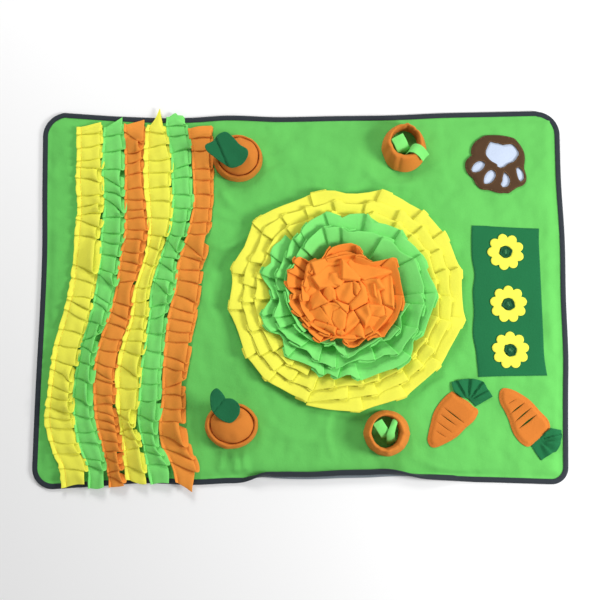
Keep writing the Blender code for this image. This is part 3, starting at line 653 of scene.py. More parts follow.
# %% Pleats as columns of points
TOP_STEPS = np.array([0.0, 0.14, 0.28, 0.42, 0.56, 0.70, 0.82, 0.92, 1.0])
NOSE_TURNS = np.radians([54.0, 18.0, -18.0, -54.0])
UNDER_STEPS = np.array([0.0, 0.25, 0.5, 0.75, 1.0])
HIDDEN_TURNS = np.radians([54.0, 0.0, -54.0])
# how far each point of a pleat lies out past the free edge: the top layers lie back a little, so
# that a band of the layer under them shows
LAYER_LEAN = np.concatenate([
    0.4 - 1.7 * smooth_step(0.15, 0.42, TOP_STEPS) + 0.3 * smooth_step(0.45, 1.0, TOP_STEPS),
    -0.3 - 0.75 * np.sin(NOSE_TURNS), 0.4 + 0.2 * np.sin(math.pi * UNDER_STEPS),
    0.4 + 0 * HIDDEN_TURNS])
COLUMNS = len(LAYER_LEAN)
FLEECE_THICK = 1.5
MOST_HIDDEN = 0.35  # share of a top face's steps that lies under the fold before it
MOST_BOW = 2.6  # mm by which a fold bows along the strip
# (place across the strip, how thick the layers are there): the seam presses them flat
PRESSED = ((-0.2, 1.0), (-0.07, 0.8), (0.0, 0.42), (0.06, 0.62), (0.16, 0.9), (0.3, 1.0),
           (1.2, 1.0))


def pleats(start, folds, widths, opening, underlap=0.55, nose=4.2, rise=8.5, seed=1):
    """Where the cloth runs: distance along the strip, height, and how far it leans outwards.

    start and folds hold (place at the seam, place at the free edge); opening is 0 to 1 for each
    fold, and underlap is the share of a pleat that is folded back under it. The arrays that come
    back have one row for each of widths and COLUMNS for each fold.
    """
    draw = np.random.RandomState(seed)
    count = len(folds)
    folds, opening = np.asarray(folds, float), np.asarray(opening, float)
    pitch = np.abs(np.diff(np.concatenate([[start[0]], folds[:, 0]])))
    tuck = np.clip(underlap * pitch * (0.85 + 0.3 * draw.rand(count)), 5.0,
                   np.maximum(5.0, 0.97 * pitch))
    bow = draw.uniform(-MOST_BOW, MOST_BOW, count)
    fullness = 0.65 + 0.7 * draw.rand(count)
    stick = draw.uniform(-0.5, 0.5, count)
    swing = LAYER_LEAN * (0.5 + 0.8 * (opening * fullness)[:, None]) + stick[:, None]
    swing[0, :len(TOP_STEPS)] = 0.0  # no fold lies over the strip's end
    along, high, lean = [], [], []
    half = FLEECE_THICK / 2
    for w in widths:
        press = np.interp(w, *np.array(PRESSED).T)
        open_here = opening * fullness * smooth_step(0.12, 1.0, w)
        fold = folds[:, 0] + (folds[:, 1] - folds[:, 0]) * w + bow * math.sin(math.pi * max(w, 0))
        first_edge = np.interp(w, np.linspace(0.0, 1.0, len(start)), start)
        before = np.concatenate([[first_edge], fold[:-1]])
        back = np.concatenate([[0.0], tuck[:-1]])
        radius = (half + 0.12) * press + nose * open_here
        top = (3.5 * FLEECE_THICK + 0.5) * press + rise * open_here
        hidden = (half + 0.05) * press + 0.5 * open_here
        first = before - back
        s = TOP_STEPS[None, :]
        climb = smooth_step(0.16, 1.0, s)
        hidden_share = np.minimum(MOST_HIDDEN, back / (fold - first))[:, None]
        d1 = np.where(s < hidden_share,
                      first[:, None] + back[:, None] * s / np.maximum(hidden_share, 1e-6),
                      before[:, None] + (fold - before)[:, None] * (s - hidden_share)
                      / (1 - hidden_share))
        h1 = half + (top[:, None] - half) * climb + (1.2 * nose * open_here)[:, None] * np.sin(
            math.pi * s ** 1.6)
        d2 = fold[:, None] + 1.1 * radius[:, None] * np.cos(NOSE_TURNS)
        h2 = (top - radius)[:, None] + radius[:, None] * np.sin(NOSE_TURNS)
        low, deep = (top - 2 * radius)[:, None], (half + 2 * hidden)[:, None]
        u = UNDER_STEPS[None, :]
        d3 = fold[:, None] - tuck[:, None] * u
        h3 = np.maximum(low, deep) + (deep - np.maximum(low, deep)) * smooth_step(0.0, 1.0, u)
        d4 = (fold - tuck)[:, None] - 1.1 * hidden[:, None] * np.cos(HIDDEN_TURNS)
        h4 = (half + hidden)[:, None] + hidden[:, None] * np.sin(HIDDEN_TURNS)
        along.append(np.concatenate([d1, d2, d3, d4], axis=1).ravel())
        high.append(np.concatenate([h1, h2, h3, h4], axis=1).ravel())
        lean.append(swing.ravel() * smooth_step(0.4, 1.0, w))
    last = (count - 1) * COLUMNS + len(TOP_STEPS) + 1  # the last fold has nothing under it
    return np.array(along)[:, :last], np.array(high)[:, :last], np.array(lean)[:, :last]


print("one pleat is", COLUMNS, "columns of points")

# %% [markdown]
# ## Six ruffle strips
# The strips wander a little from left to right, because a strip is sewn down by eye. Two tables
# give each strip's seam and free edge, and another gives its folds: the place of the fold in the
# photograph, how much lower its right end lies than its left end, and how far it stands open.

# %% Strip tables
# y, then the left and the right edge of each strip there, in mm
EDGES = (
    (372, -438, -394, -386, -352, -347, -310, -288, -273, -264, -236, -222, -179),
    (330, -438, -392, -386, -350, -346, -308, -302, -268, -264, -226, -222, -177),
    (280, -437, -389, -388, -346, -344, -308, -306, -257, -255, -216, -214, -175),
    (230, -438, -389, -388, -345, -343, -308, -306, -254, -252, -214, -211, -176),
    (175, -434, -384, -382, -343, -342, -301, -300, -253, -251, -213, -210, -176),
    (120, -436, -389, -387, -344, -342, -299, -297, -260, -258, -223, -221, -181),
    (65, -440, -391, -389, -353, -351, -307, -305, -277, -275, -240, -238, -189),
    (10, -445, -397, -395, -358, -356, -323, -321, -291, -289, -247, -245, -197),
    (-40, -456, -406, -404, -371, -369, -328, -326, -294, -292, -258, -256, -206),
    (-95, -471, -422, -420, -389, -387, -345, -343, -301, -299, -264, -261, -213),
    (-145, -477, -430, -428, -396, -394, -354, -352, -308, -306, -267, -264, -220),
    (-200, -482, -435, -433, -395, -393, -353, -351, -310, -308, -267, -264, -223),
    (-245, -483, -431, -429, -390, -388, -346, -344, -316, -308, -272, -269, -221),
    (-285, -473, -422, -420, -378, -376, -340, -338, -300, -298, -267, -263, -212),
    (-325, -454, -404, -402, -367, -365, -335, -333, -292, -290, -246, -243, -197),
    (-370, -448, -403, -400, -366, -360, -327, -325, -286, -280, -246, -233, -201),
)
# name, fleece, start row (left, right), end row, folds as (row, slant, opening); rows in pixels
STRIPS = (
    ("ruffle_strip_1_yellow", yellow_fleece, (127, 122), (487, 483),
     ((133, -2, .2), (145, -5, .3), (158.5, -3, .3), (167, 1, .6), (179, 3, .8), (194, -2, .5),
      (204.5, -3, .6), (212.5, -4, .8), (223, 6, .8), (236, 2, .7), (268, 6, .8), (280.5, 5, .2),
      (297, 1.5, .2), (304.5, 8, .3), (315, 9, .2), (331, 4, .2), (345.5, 2, .2), (362, 5, .3),
      (375, 10, .4), (388, 6, .7), (398, 3, .9), (408, 2, .8), (417, 1, .5), (426.5, -.5, .2),
      (441.5, 2, .2), (452, -2, .7), (469, 2, .3))),
    ("ruffle_strip_2_green", green_fleece, (127.5, 117), (488, 486),
     ((134.4, -3, .3), (149.6, -4, .4), (168.9, 0, .5), (181, 9, .8), (193, 4, .9), (205, 12, .7),
      (216, -2, .5), (232, 0, .6), (241, 1, .5), (254.5, 1.5, .4), (270.6, 5, .4), (279, 9, .9),
      (298.4, 8, .4), (306, 8, .5), (322, 3, .9), (335, -8, 1.), (348, 4, .9), (362, 2, .8),
      (379, 3, 1.), (400, 5, .9), (415, 2, .5), (430, -3, .4), (442, 0, .5), (459, 2, .4),
      (466.5, 3, .7))),
    ("ruffle_strip_3_orange", orange_fleece, (124.7, 119.5), (487, 485),
     ((137, 9, .8), (150, -6, .9), (160, -6, .6), (172.6, -4, .3), (188, -3, .3), (198.5, -1, .5),
      (209, -1, .4), (217.5, -2, .3), (229, 0, .4), (239, 1, .5), (250.6, 0, .7), (261.6, 2, 1.),
      (270, 1, .5), (281, -2, .3), (303, 3, .4), (315, 6, .4), (325, 5, .3), (337, 2, .3),
      (349.6, 1, .3), (364, 5, .4), (374.5, 8, .5), (380, 4, .4), (393, 0, .4), (403, -2, .5),
      (413, 5, .4), (421, 4, .5), (429, 2, .5), (440, 1, .6), (450, -2, .6), (459, 3, .8),
      (469, -5, .9), (478, 4, .8))),
    ("ruffle_strip_4_yellow", yellow_fleece, (125, 120, 113.5, 107, 116, 130), (480, 483),
     ((132, 1, .2), (145.5, -4, .2), (158.3, -3, .3), (172, -1, .3), (186.4, -3, .3),
      (200.8, 0, .3), (217, 0, .3), (234.6, 1, .4), (247, 3, .4), (263, 2, .4), (286, -2, .4),
      (300, -3.5, .4), (315, 0, .4), (328.5, -1, .4), (340.5, 0, .4), (351, 3, .8), (370, 9, 1.),
      (386.5, -1, .4), (408, -1, .5), (418, 6, 1.), (427, -6, 1.), (436, 3, .9), (447, -5, .5),
      (468, 4.5, .6))),
    ("ruffle_strip_5_green", green_fleece, (117, 114.5, 112.4, 117, 124), (484, 482),
     ((125.5, -1, .2), (135, -2, .3), (149.7, -5, .4), (166, -6, .4), (177, -2, .3), (194, 0, .4),
      (207.3, 0, .4), (220, -1, .4), (234, 2, .6), (245, 9, .9), (257, 2, .5), (266, 7, .5),
      (280, 4, .5), (287, 10.6, .8), (303.7, -6, .7), (315, -7, .5), (332, -1, .4), (349.7, 1, .3),
      (367, 0, .4), (382.5, -1, .4), (399, -2.5, .5), (416, 3, 1.), (432, 0, .6), (444, 1, .5),
      (452, 2, .6), (463, -2, .7))),
    ("ruffle_strip_6_orange", orange_fleece, (128.5, 125.5), (483, 491),
     ((137.6, -2, .3), (149.4, -2, .3), (168.3, -1, .4), (178.6, -1, .4), (193.6, 0, .4),
      (207, 0, .4), (221.4, -2, .4), (232.6, -1, .5), (250, 13, .9), (257.4, 4, .6),
      (268.5, -1, .4), (281, 3, .4), (297.8, 7, .5), (309, 5, .4), (319.7, 3.5, .4),
      (330.3, 1, .4), (341.2, 0, .3), (359, 6, .4), (367.7, 3, .5), (382, -10, 1.),
      (394, 0, .5), (407, -1, .5), (421, 0, .5), (439, 8, 1.), (453, 9, .7), (466, 8, .6))),
)
print(len(STRIPS), "strips with", sum(len(row[-1]) for row in STRIPS), "folds that were counted")

# %% Strips of cloth
TAPE_RAMP = (46.0, 14.0)  # a strip climbs onto the tape between these distances from the edge
LEAN_OUT = 4.8  # mm by which an under layer shows past the top layers
PIXELS_PER_MM = 0.52
STRIP_HEIGHT = 9.0  # of the folds, where they were read in the photograph
NARROW, WIDE = 0.12, 0.2  # seam allowance beside a strip's seam, as a share of its width


def bed(x, y):
    """Height of what a sewn-on piece lies on: the fleece and, near the edge, the tape."""
    climb = smooth_step(TAPE_RAMP[0], TAPE_RAMP[1], edge_distance(x, y))
    return ON_PANEL + lift(x, y) + (TAPE_TOP - ON_PANEL + 0.3) * climb


def strip_cloth(number, flange, name, material, start, end, folds):
    """One strip: its folds in mm along it, then its grid, then its cloth."""
    seam_column, free_column = 1 + 2 * number, 2 + 2 * number
    middle = np.array(EDGES)[:, seam_column:free_column + 1].mean(axis=1)

    def millimetres(row):
        """y in mm for a row of the photograph, in the middle of this strip."""
        y = 0.0
        for _ in range(3):
            x = np.interp(y, np.array(EDGES)[::-1, 0], middle[::-1])
            across = PICTURE / 2 + (x - 1000 * AIM[0]) * PIXELS_PER_MM
            y = float(from_photo(across, row, STRIP_HEIGHT)[1])
        return y

    top = millimetres((start[0] + start[-1]) / 2)
    places = [(top - millimetres(v - slant / 2), top - millimetres(v + slant / 2))
              for v, slant, _ in folds] + [tuple(top - millimetres(v) for v in end)]
    opening = [open_by for _, _, open_by in folds] + [0.3]
    begin = tuple(top - millimetres(v) for v in start)
    loose = 1.0 if flange == WIDE else 0.4  # how much the seam allowance crinkles
    widths = np.concatenate([[-flange, -0.5 * flange, 0.0, 0.05, 0.12], np.linspace(0.2, 1.0, 10)])
    along, high, lean = pleats(begin, places, widths, opening, underlap=1.05, nose=5.2, rise=12.5,
                               seed=40 + number)
    share = ((widths + flange) / (1.0 + flange))[:, None] * np.ones_like(along)
    y = top - along
    left, right = table(EDGES, y, seam_column), table(EDGES, y, free_column)
    ragged = 2.4 * (hills(along, 60.0 * number + 0 * along, 17.0, 3) - 0.5) * share ** 4
    allowance = smooth_step(share[2, 0], 0.0, share)
    crinkle = 4.4 * (hills(along, 90.0 * number + 0 * along, 9.0, 21) - 0.5) * allowance * loose
    x = left + (right - left) * share + LEAN_OUT * lean + ragged + crinkle
    wrinkle = (1.2 + 1.2 * loose) * (hills(x, y, 13.0, 60 + number) - 0.5) * smooth_step(
        0.1, 0.8, share)
    z = bed(x, y) + high + wrinkle + 2.6 * loose * allowance * hills(x, y, 9.0, 33)
    grid = np.stack([x, y, np.maximum(z, bed(x, y) + FLEECE_THICK / 2 + 0.1)], axis=-1)
    cloth = thick_cloth(name + "_cloth", grid, FLEECE_THICK, material)
    stands_for(cloth, name)
    flat = laid_out(grid, 8)
    seam_line = np.stack([left[2] + (right - left)[2] * share[2], y[2], z[2] + 0.8], axis=1)
    print(name, len(folds) + 1, "folds,", flat[1], "m of fleece,", len(cloth.data.polygons),
          "faces")
    return cloth, seam_line


strips, seams = zip(*(strip_cloth(number, WIDE if number in (0, 3) else NARROW, *row)
                      for number, row in enumerate(STRIPS)))

# %% [markdown]
# ## The ruffle flower
# The round flower is three long strips, one for each colour, pleated in the same way and sewn down
# in a spiral that winds inwards. The yellow one lies almost flat, like tiles. The green and the
# orange ones stand up and lean outwards, and their folds open wide, because their free edge has to
# go round a larger circle than their seam. So the same pleats are laid along a spiral, at an angle
# to the ground.

# %% Edges traced in the photograph
FLOWER_CENTRE = (83.0, -6.0)
FLOWER_SQUASH = 0.945


def in_part(marks, height, shift=(0.0, 0.0), zoom=1.0):
    """x and y in mm for marks made in an enlarged part of the photograph."""
    u, v = np.array([m[:2] for m in marks], float).T
    return from_photo(shift[0] + u / zoom, shift[1] + v / zoom, height)


def traced(marks, start, height, **part):
    """Radius of a free edge at any angle, and its fold angles, from places in the photograph.

    A mark with a third value is a fold. Angles count on from start, in degrees.
    """
    x, y = in_part(marks, height, **part)
    x, y = x - FLOWER_CENTRE[0], (y - FLOWER_CENTRE[1]) / FLOWER_SQUASH
    angle, radius = np.degrees(np.arctan2(y, x)) % 360.0, np.hypot(x, y)
    order = np.argsort(angle)
    folded = (np.array([a for a, m in zip(angle, marks) if len(m) > 2]) - start) % 360.0

    def edge(turned):
        return np.interp(np.asarray(turned) % 360.0, angle[order], radius[order], period=360.0)

    return edge, np.sort(folded) + start


def turns(edges, start):
    """One free edge from several turns: each turn blends into the next in its last part."""
    def radius(turned):
        through = (np.asarray(turned, float) - start) / 360.0
        total = edges[0](turned)
        for k in range(1, len(edges)):
            total = total + (edges[k](turned) - total) * smooth_step(k - 0.02, k + 0.05, through)
        return total

    return radius


print("the flower's middle lies at", FLOWER_CENTRE, "mm")


# %% A strip wound in a spiral
def wind(name, material, angles, opening, free, seam, height, seed, droop=0.0, tilt=0.0,
         chord=0.0, rows=14, wave=0.0, out=1.5, weave=0.0, **look):
    """A strip wound inwards. angles are those of its folds, in degrees, along its free edge.

    free gives the outer radius at an angle; seam and height give the inner radius and the height
    of the free edge at the strip's two ends. droop bends the free edge down again; tilt turns each
    tab's leading end out, and chord keeps a tab straight instead of round. wave and weave are how
    far the free edge swings up and down, and in and out; out is how far the layers lean apart.
    """
    angles = np.asarray(angles, float)
    span = angles[-1] - angles[0]

    def at(row, turned):
        return row[0] + (row[1] - row[0]) * (turned - angles[0]) / span

    # length along the middle of the strip, for each angle
    fine = np.linspace(angles[0] - 40, angles[-1] + 40, 4000)
    middle = (free(fine) + at(seam, fine)) / 2
    steps = np.diff(np.radians(fine)) * (middle[1:] + middle[:-1]) / 2
    length = np.concatenate([[0.0], np.cumsum(steps)])
    place = np.interp(angles, fine, length)
    widths = np.concatenate([[0.0, 0.05, 0.12], np.linspace(0.2, 1.0, rows - 3)])
    draw = np.random.RandomState(seed + 1)
    skew = draw.uniform(-3.0, 3.0, len(place))
    folds = [(p - k, p + k) for p, k in zip(place, skew)]
    along, high, lean = pleats(folds[0], folds[1:], widths, opening, seed=seed, **look)
    w = np.broadcast_to(widths[:, None], along.shape)
    turned = np.interp(along, length, fine)
    inner, outer, top = at(seam, turned), free(turned), at(height, turned)
    # where a column is on its tab: 0 at the fold before it, 1 at its own fold
    knots = np.searchsorted(place, along[-1]).clip(1, len(place) - 1)
    share = np.clip((along - place[knots - 1]) / (place[knots] - place[knots - 1]), 0.0, 1.0)
    half_tab = np.radians(np.diff(angles)[knots - 1]) / 2
    sag = chord * outer * (1 - np.cos(half_tab)) * (4 * share * (1 - share) - 0.5)
    reach = np.hypot(outer - inner, top)
    slope = np.arctan2(top, outer - inner)
    flat_way = reach * w + out * lean
    swing = hills(along, 300.0 + 0 * along, 19.0, seed + 5) * 1.4 - 0.7
    sway = hills(along, 700.0 + 0 * along, 15.0, seed + 9) * 2.0 - 1.0
    arch = droop * np.sin(math.pi * w * 0.86) + wave * swing * w ** 1.3
    radius = inner + flat_way * np.cos(slope) - (high + arch) * np.sin(slope)
    radius = radius + (-sag + tilt * (share - 0.5) + weave * sway * w) * w ** 1.5
    z = flat_way * np.sin(slope) + (high + arch) * np.cos(slope)
    turn = np.radians(turned)
    x = FLOWER_CENTRE[0] + radius * np.cos(turn)
    y = FLOWER_CENTRE[1] + FLOWER_SQUASH * radius * np.sin(turn)
    crumple = 1.6 * (hills(x + z, y - z, 15.0, seed) - 0.5) * smooth_step(0.1, 0.8, w)
    floor_here = ON_PANEL + lift(x, y)
    grid = np.stack([x, y, np.maximum(floor_here + z + crumple, floor_here + 0.9)], axis=-1)
    cloth = thick_cloth(name, grid, FLEECE_THICK, material)
    flat = laid_out(grid, rows // 2)
    print(name, len(angles) - 1, "folds,", flat[1], "m x", round(flat[0] * 1000),
          "mm of fleece,", len(cloth.data.polygons), "faces")
    return cloth


print("ready to wind strips")

# %% Free edges as seen in the photograph
# (across, down) in pixels; a third value marks a fold
YELLOW_EDGE = (
    (329, 190.5), (346, 193), (364, 193.5), (382, 192), (402, 199), (419, 210), (439.5, 228.5),
    (451, 246), (458.5, 266), (462, 290), (463, 321), (455, 342), (440, 365), (417, 389),
    (395, 401), (370, 409), (345, 411.5), (325, 410), (306, 405), (301, 400), (269, 383),
    (248, 359), (237, 335), (229.5, 309), (231, 286), (233, 267), (243, 248), (257, 220),
    (275, 208), (296, 200), (313, 196))
# these are in the pixels of two enlarged parts: the shift and the zoom say where
PART = {"shift": (222.0, 185.0), "zoom": 6.323}
ROSE = {"shift": (282.0, 238.0), "zoom": 12.25}
GREEN_EDGES = (
    ((540, 235), (600, 200), (657, 173, 1), (700, 190), (760, 208), (830, 188), (922, 186, 1),
     (945, 228), (962, 250), (1030, 243), (1090, 262), (1142, 293, 1), (1135, 328), (1200, 370),
     (1268, 442, 1), (1275, 475), (1300, 530), (1340, 620), (1367, 705, 1), (1345, 760),
     (1310, 860), (1272, 952, 1), (1218, 985), (1217, 1050), (1197, 1112, 1), (1150, 1145),
     (1070, 1185), (950, 1225), (860, 1246, 1), (800, 1213), (725, 1232, 1), (660, 1200),
     (618, 1222, 1), (590, 1178), (500, 1142), (398, 1092, 1), (385, 1020), (370, 960),
     (308, 932, 1), (260, 890), (238, 820, 1), (270, 770), (298, 715, 1), (290, 660), (270, 620),
     (243, 560, 1), (257, 525), (298, 500), (300, 440, 1), (330, 390), (370, 350), (402, 310, 1),
     (440, 317), (495, 285, 1)),
    ((530, 345), (580, 302), (640, 268, 1), (700, 256), (760, 262, 1), (800, 285), (880, 282),
     (960, 298), (1020, 335, 1), (1070, 350), (1130, 420), (1225, 466, 1), (1250, 540),
     (1278, 640), (1274, 705, 1), (1285, 768, 1), (1260, 860), (1238, 930, 1), (1180, 1010),
     (1110, 1082, 1), (1040, 1080), (975, 1122, 1), (880, 1120), (790, 1142), (700, 1168, 1),
     (640, 1143), (590, 1118, 1), (540, 1060), (480, 1040, 1), (400, 985), (350, 910, 1),
     (318, 840, 1), (345, 730), (330, 650, 1), (322, 570, 1), (350, 520), (395, 450, 1),
     (440, 400), (490, 390, 1)),
    ((600, 350), (700, 330), (780, 345, 1), (860, 330), (960, 360), (1040, 420, 1), (1120, 500),
     (1192, 588, 1), (1202, 680), (1196, 765, 1), (1150, 840), (1130, 920, 1), (1060, 1000),
     (998, 984, 1), (950, 1012), (880, 1052), (772, 1102, 1), (730, 1080), (700, 1012, 1),
     (630, 1012), (560, 1002), (488, 945, 1), (440, 880), (402, 750, 1), (385, 640),
     (400, 560, 1), (450, 470), (530, 400, 1)),
)
ORANGE_EDGE = (
    (345, 290, 1), (430, 240), (500, 215, 1), (530, 170), (560, 125), (640, 70), (740, 50),
    (850, 60), (945, 95, 1), (1000, 180), (1060, 250), (1110, 285, 1), (1180, 250), (1280, 225),
    (1392, 235, 1), (1420, 330), (1460, 440), (1480, 560), (1502, 720, 1), (1500, 790), (1480, 900),
    (1420, 1010), (1330, 1130), (1240, 1247, 1), (1210, 1213), (1170, 1208, 1), (1100, 1240),
    (1040, 1290), (950, 1345), (860, 1367), (775, 1352, 1), (740, 1300), (640, 1258, 1),
    (560, 1275), (460, 1302, 1), (380, 1260), (310, 1190), (295, 1120, 1), (240, 1060),
    (188, 982, 1), (120, 920), (68, 800), (75, 730, 1), (102, 690), (60, 640), (28, 570, 1),
    (40, 470), (58, 400, 1), (112, 380), (140, 350), (122, 280, 1), (160, 228), (200, 218),
    (260, 250), (312, 287, 1))
print("marks on the free edges: yellow", len(YELLOW_EDGE), "green",
      sum(len(edge) for edge in GREEN_EDGES), "orange", len(ORANGE_EDGE))

# %% Yellow, green and orange rows
draw = np.random.RandomState(77)
# the outermost yellow folds were read from the photograph; the rows under the green are drawn
outer_folds = [250.3, 277.3, 300, 323.1, 349.4, 375.3, 396.1, 410.3, 432.4, 467.3, 499.2, 525.6,
               545.9, 572.7, 587.8, 610]
yellow_angles = np.concatenate([outer_folds, 610 + np.cumsum(draw.uniform(10, 21, 48))])
yellow_open = draw.uniform(0.2, 0.9, len(yellow_angles) - 1)
outline, _ = traced(YELLOW_EDGE, yellow_angles[0], 8.0)
yellow_free = turns([lambda turned, less=less: outline(turned) - less
                     for less in (0.0, 24.0, 48.0)], yellow_angles[0])
yellow_rows = wind("flower_yellow_ruffle", yellow_fleece, yellow_angles, yellow_open, yellow_free,
                   (180, 132), (9, 15), 101, droop=1.5, tilt=3.5, chord=0.6, rows=12, wave=1.5,
                   underlap=0.2, nose=0.3, rise=0.9)
stands_for(yellow_rows, "flower_yellow_rows")

GREEN_START = 127.0
traces = [traced(marks, GREEN_START, height, **PART)
          for marks, height in zip(GREEN_EDGES, (20.0, 26.0, 31.0))]
green_angles = np.unique(np.concatenate([folds + 360.0 * k
                                         for k, (_, folds) in enumerate(traces)]))
green_angles = green_angles[np.concatenate([[True], np.diff(green_angles) > 4.0])]
green_angles = green_angles[:-3]  # the strip ends where the orange begins to stand over it
green_open = draw.uniform(0.3, 1.0, len(green_angles) - 1)
green_rows = wind("flower_green_ruffle", green_fleece, green_angles, green_open,
                  turns([edge for edge, _ in traces], GREEN_START), (118, 84), (18, 33), 202,
                  droop=2.0, tilt=2.0, rows=18, wave=6.0, weave=3.0,
                  underlap=0.3, nose=1.3, rise=2.6)
stands_for(green_rows, "flower_green_rows")

ORANGE_START = 44.0
outline_orange, orange_folds = traced(ORANGE_EDGE, ORANGE_START, 34.0, **ROSE)
orange_angles = np.concatenate([orange_folds, ORANGE_START + 360.0 + np.cumsum(
    draw.uniform(20.0, 40.0, 10))])
orange_open = draw.uniform(0.3, 1.0, len(orange_angles) - 1)
orange_rows = wind("flower_orange_ruffle", flower_fleece, orange_angles, orange_open,
                   turns([outline_orange, lambda turned: 90.0 + 0.0 * turned], ORANGE_START),
                   (76, 46), (31, 35), 303, droop=3.0, tilt=1.5, rows=18, wave=3.5,
                   weave=1.5, underlap=0.3, nose=1.3, rise=2.6)
stands_for(orange_rows, "flower_orange_rows")

# %% [markdown]
# ## The flower's heart
# In the middle, the end of the orange strip is folded over itself, so that no seam shows. Its folds
# lie like the petals of a rose, each over the next, and they gather in a pinch. It is one sheet:
# at each place its height is that of the highest fold there, and every fold has a rounded edge and
# a steep wall down to the next one. The faces were read from the photograph; their heights say
# which one lies on top. Sculpting would reach the same form, but not from a table. The table stands
# here, and the cloth follows when the helpers for outlines are there.

# %% Faces of the heart
# in the pixels of the part called ROSE
HEART_OUTLINE = (
    (345, 305), (470, 262), (560, 242), (650, 192), (780, 165), (900, 195), (985, 255), (1080, 325),
    (1335, 390), (1350, 420), (1355, 600), (1365, 850), (1390, 890), (1300, 1000), (1200, 1100),
    (1030, 1240), (900, 1195), (800, 1220), (620, 1215), (555, 1240), (505, 1170), (520, 1115),
    (400, 1100), (205, 1000), (190, 955), (280, 930), (255, 800), (280, 660), (230, 600),
    (270, 550), (280, 450), (310, 330))
# height in mm and outline of each face
HEART_FACES = (
    (37.5, ((345, 310), (560, 245), (780, 168), (900, 200), (985, 260), (1080, 340), (960, 420),
            (800, 330), (560, 340), (415, 470), (350, 335))),
    (39.5, ((835, 235), (890, 205), (985, 260), (1080, 340), (1335, 392), (1345, 425),
            (1000, 520), (860, 420), (800, 300))),
    (42.5, ((362, 492), (530, 347), (620, 285), (737, 262), (760, 500), (720, 600), (455, 612))),
    (45.0, ((600, 425), (680, 412), (728, 440), (760, 520), (720, 590), (600, 570), (560, 500))),
    (48.5, ((735, 262), (850, 370), (965, 482), (945, 525), (850, 512), (738, 497))),
    (38.5, ((290, 360), (347, 312), (415, 440), (362, 490), (450, 610), (475, 700), (500, 840),
            (365, 880), (290, 925), (265, 800), (285, 660), (340, 600), (283, 520))),
    (41.5, ((362, 492), (450, 610), (490, 700), (560, 790), (460, 830), (365, 870), (345, 760),
            (380, 640))),
    (43.0, ((235, 600), (280, 553), (332, 610), (290, 668))),
    (45.5, ((515, 592), (600, 590), (650, 650), (655, 745), (560, 777), (508, 700))),
    (44.5, ((640, 640), (740, 553), (862, 540), (880, 690), (912, 722), (832, 812), (690, 762))),
    (46.0, ((945, 522), (1022, 600), (1047, 720), (1030, 795), (850, 885), (828, 812), (912, 722),
            (960, 630))),
    (48.0, ((868, 518), (940, 560), (965, 620), (912, 704), (880, 640))),
    (43.5, ((945, 520), (1090, 500), (1172, 508), (1248, 610), (1185, 642), (1228, 780),
            (1252, 880), (1080, 810), (1047, 720), (1020, 600))),
    (41.0, ((1110, 560), (1180, 508), (1342, 410), (1355, 600), (1362, 850), (1250, 820),
            (1190, 660))),
    (45.5, ((1110, 570), (1135, 560), (1165, 700), (1230, 790), (1200, 800), (1120, 700))),
    (45.0, ((1052, 810), (1245, 832), (1265, 962), (1180, 968), (1080, 952))),
    (47.0, ((893, 882), (1062, 800), (1082, 950), (1022, 1058), (935, 950))),
    (41.5, ((1245, 820), (1378, 892), (1290, 992), (1030, 1232), (1000, 1050), (1080, 955),
            (1262, 968))),
    (42.0, ((290, 930), (365, 870), (462, 830), (560, 960), (645, 1090), (400, 995))),
    (45.0, ((482, 832), (600, 800), (705, 820), (725, 860), (622, 902), (602, 1000), (650, 1092),
            (560, 985))),
    (46.5, ((622, 900), (718, 850), (792, 930), (770, 1100), (715, 1145), (650, 1080),
            (605, 1000))),
    (45.0, ((802, 930), (872, 888), (960, 1012), (850, 1110), (768, 1168), (780, 1040))),
    (43.0, ((958, 1010), (1002, 1160), (1010, 1235), (900, 1190), (815, 1205), (765, 1170))),
    (48.5, ((668, 1125), (740, 1130), (772, 1166), (725, 1188), (662, 1165))),
    (40.5, ((205, 985), (290, 935), (400, 992), (660, 1100), (640, 1172), (520, 1112),
            (380, 1085))),
    (39.5, ((522, 1112), (650, 1160), (760, 1190), (900, 1182), (1005, 1195), (1012, 1240),
            (900, 1195), (780, 1218), (600, 1212), (510, 1172))),
    (47.5, ((480, 832), (560, 793), (682, 788), (745, 850), (795, 908), (715, 852), (600, 812))),
    (48.0, ((640, 758), (740, 800), (822, 822), (802, 905), (755, 885), (700, 820))),
)
print("heart:", len(HEART_FACES), "folded faces")

# %% [markdown]
# ## Pockets
# Each pocket is a short tube of fleece, sewn to the mat at its foot, whose thick top is turned out
# and down. It gathers as it is turned, so its collar has soft folds that run up and over. Two
# pockets are open, with loose fleece ribbons in them; the other two hold a padded carrot top with a
# felt leaf.


# %% Collars
# name, x, y, outer half sizes, mouth half sizes, shift of the mouth, height, seed
COLLARS = (
    ("pocket_back", 198, 288, (42, 46), (27, 28), (0, 9), 36, 3),
    ("pocket_front", 159, -260, (42, 42), (27, 31), (-3, 2), 35, 14),
    ("carrot_pocket_back", -124, 267, (46.5, 44), (40, 38), (1.5, 1.5), 23, 25),
    ("carrot_pocket_front", -133, -246, (49, 42.5), (42, 36), (2, 2), 23, 36))
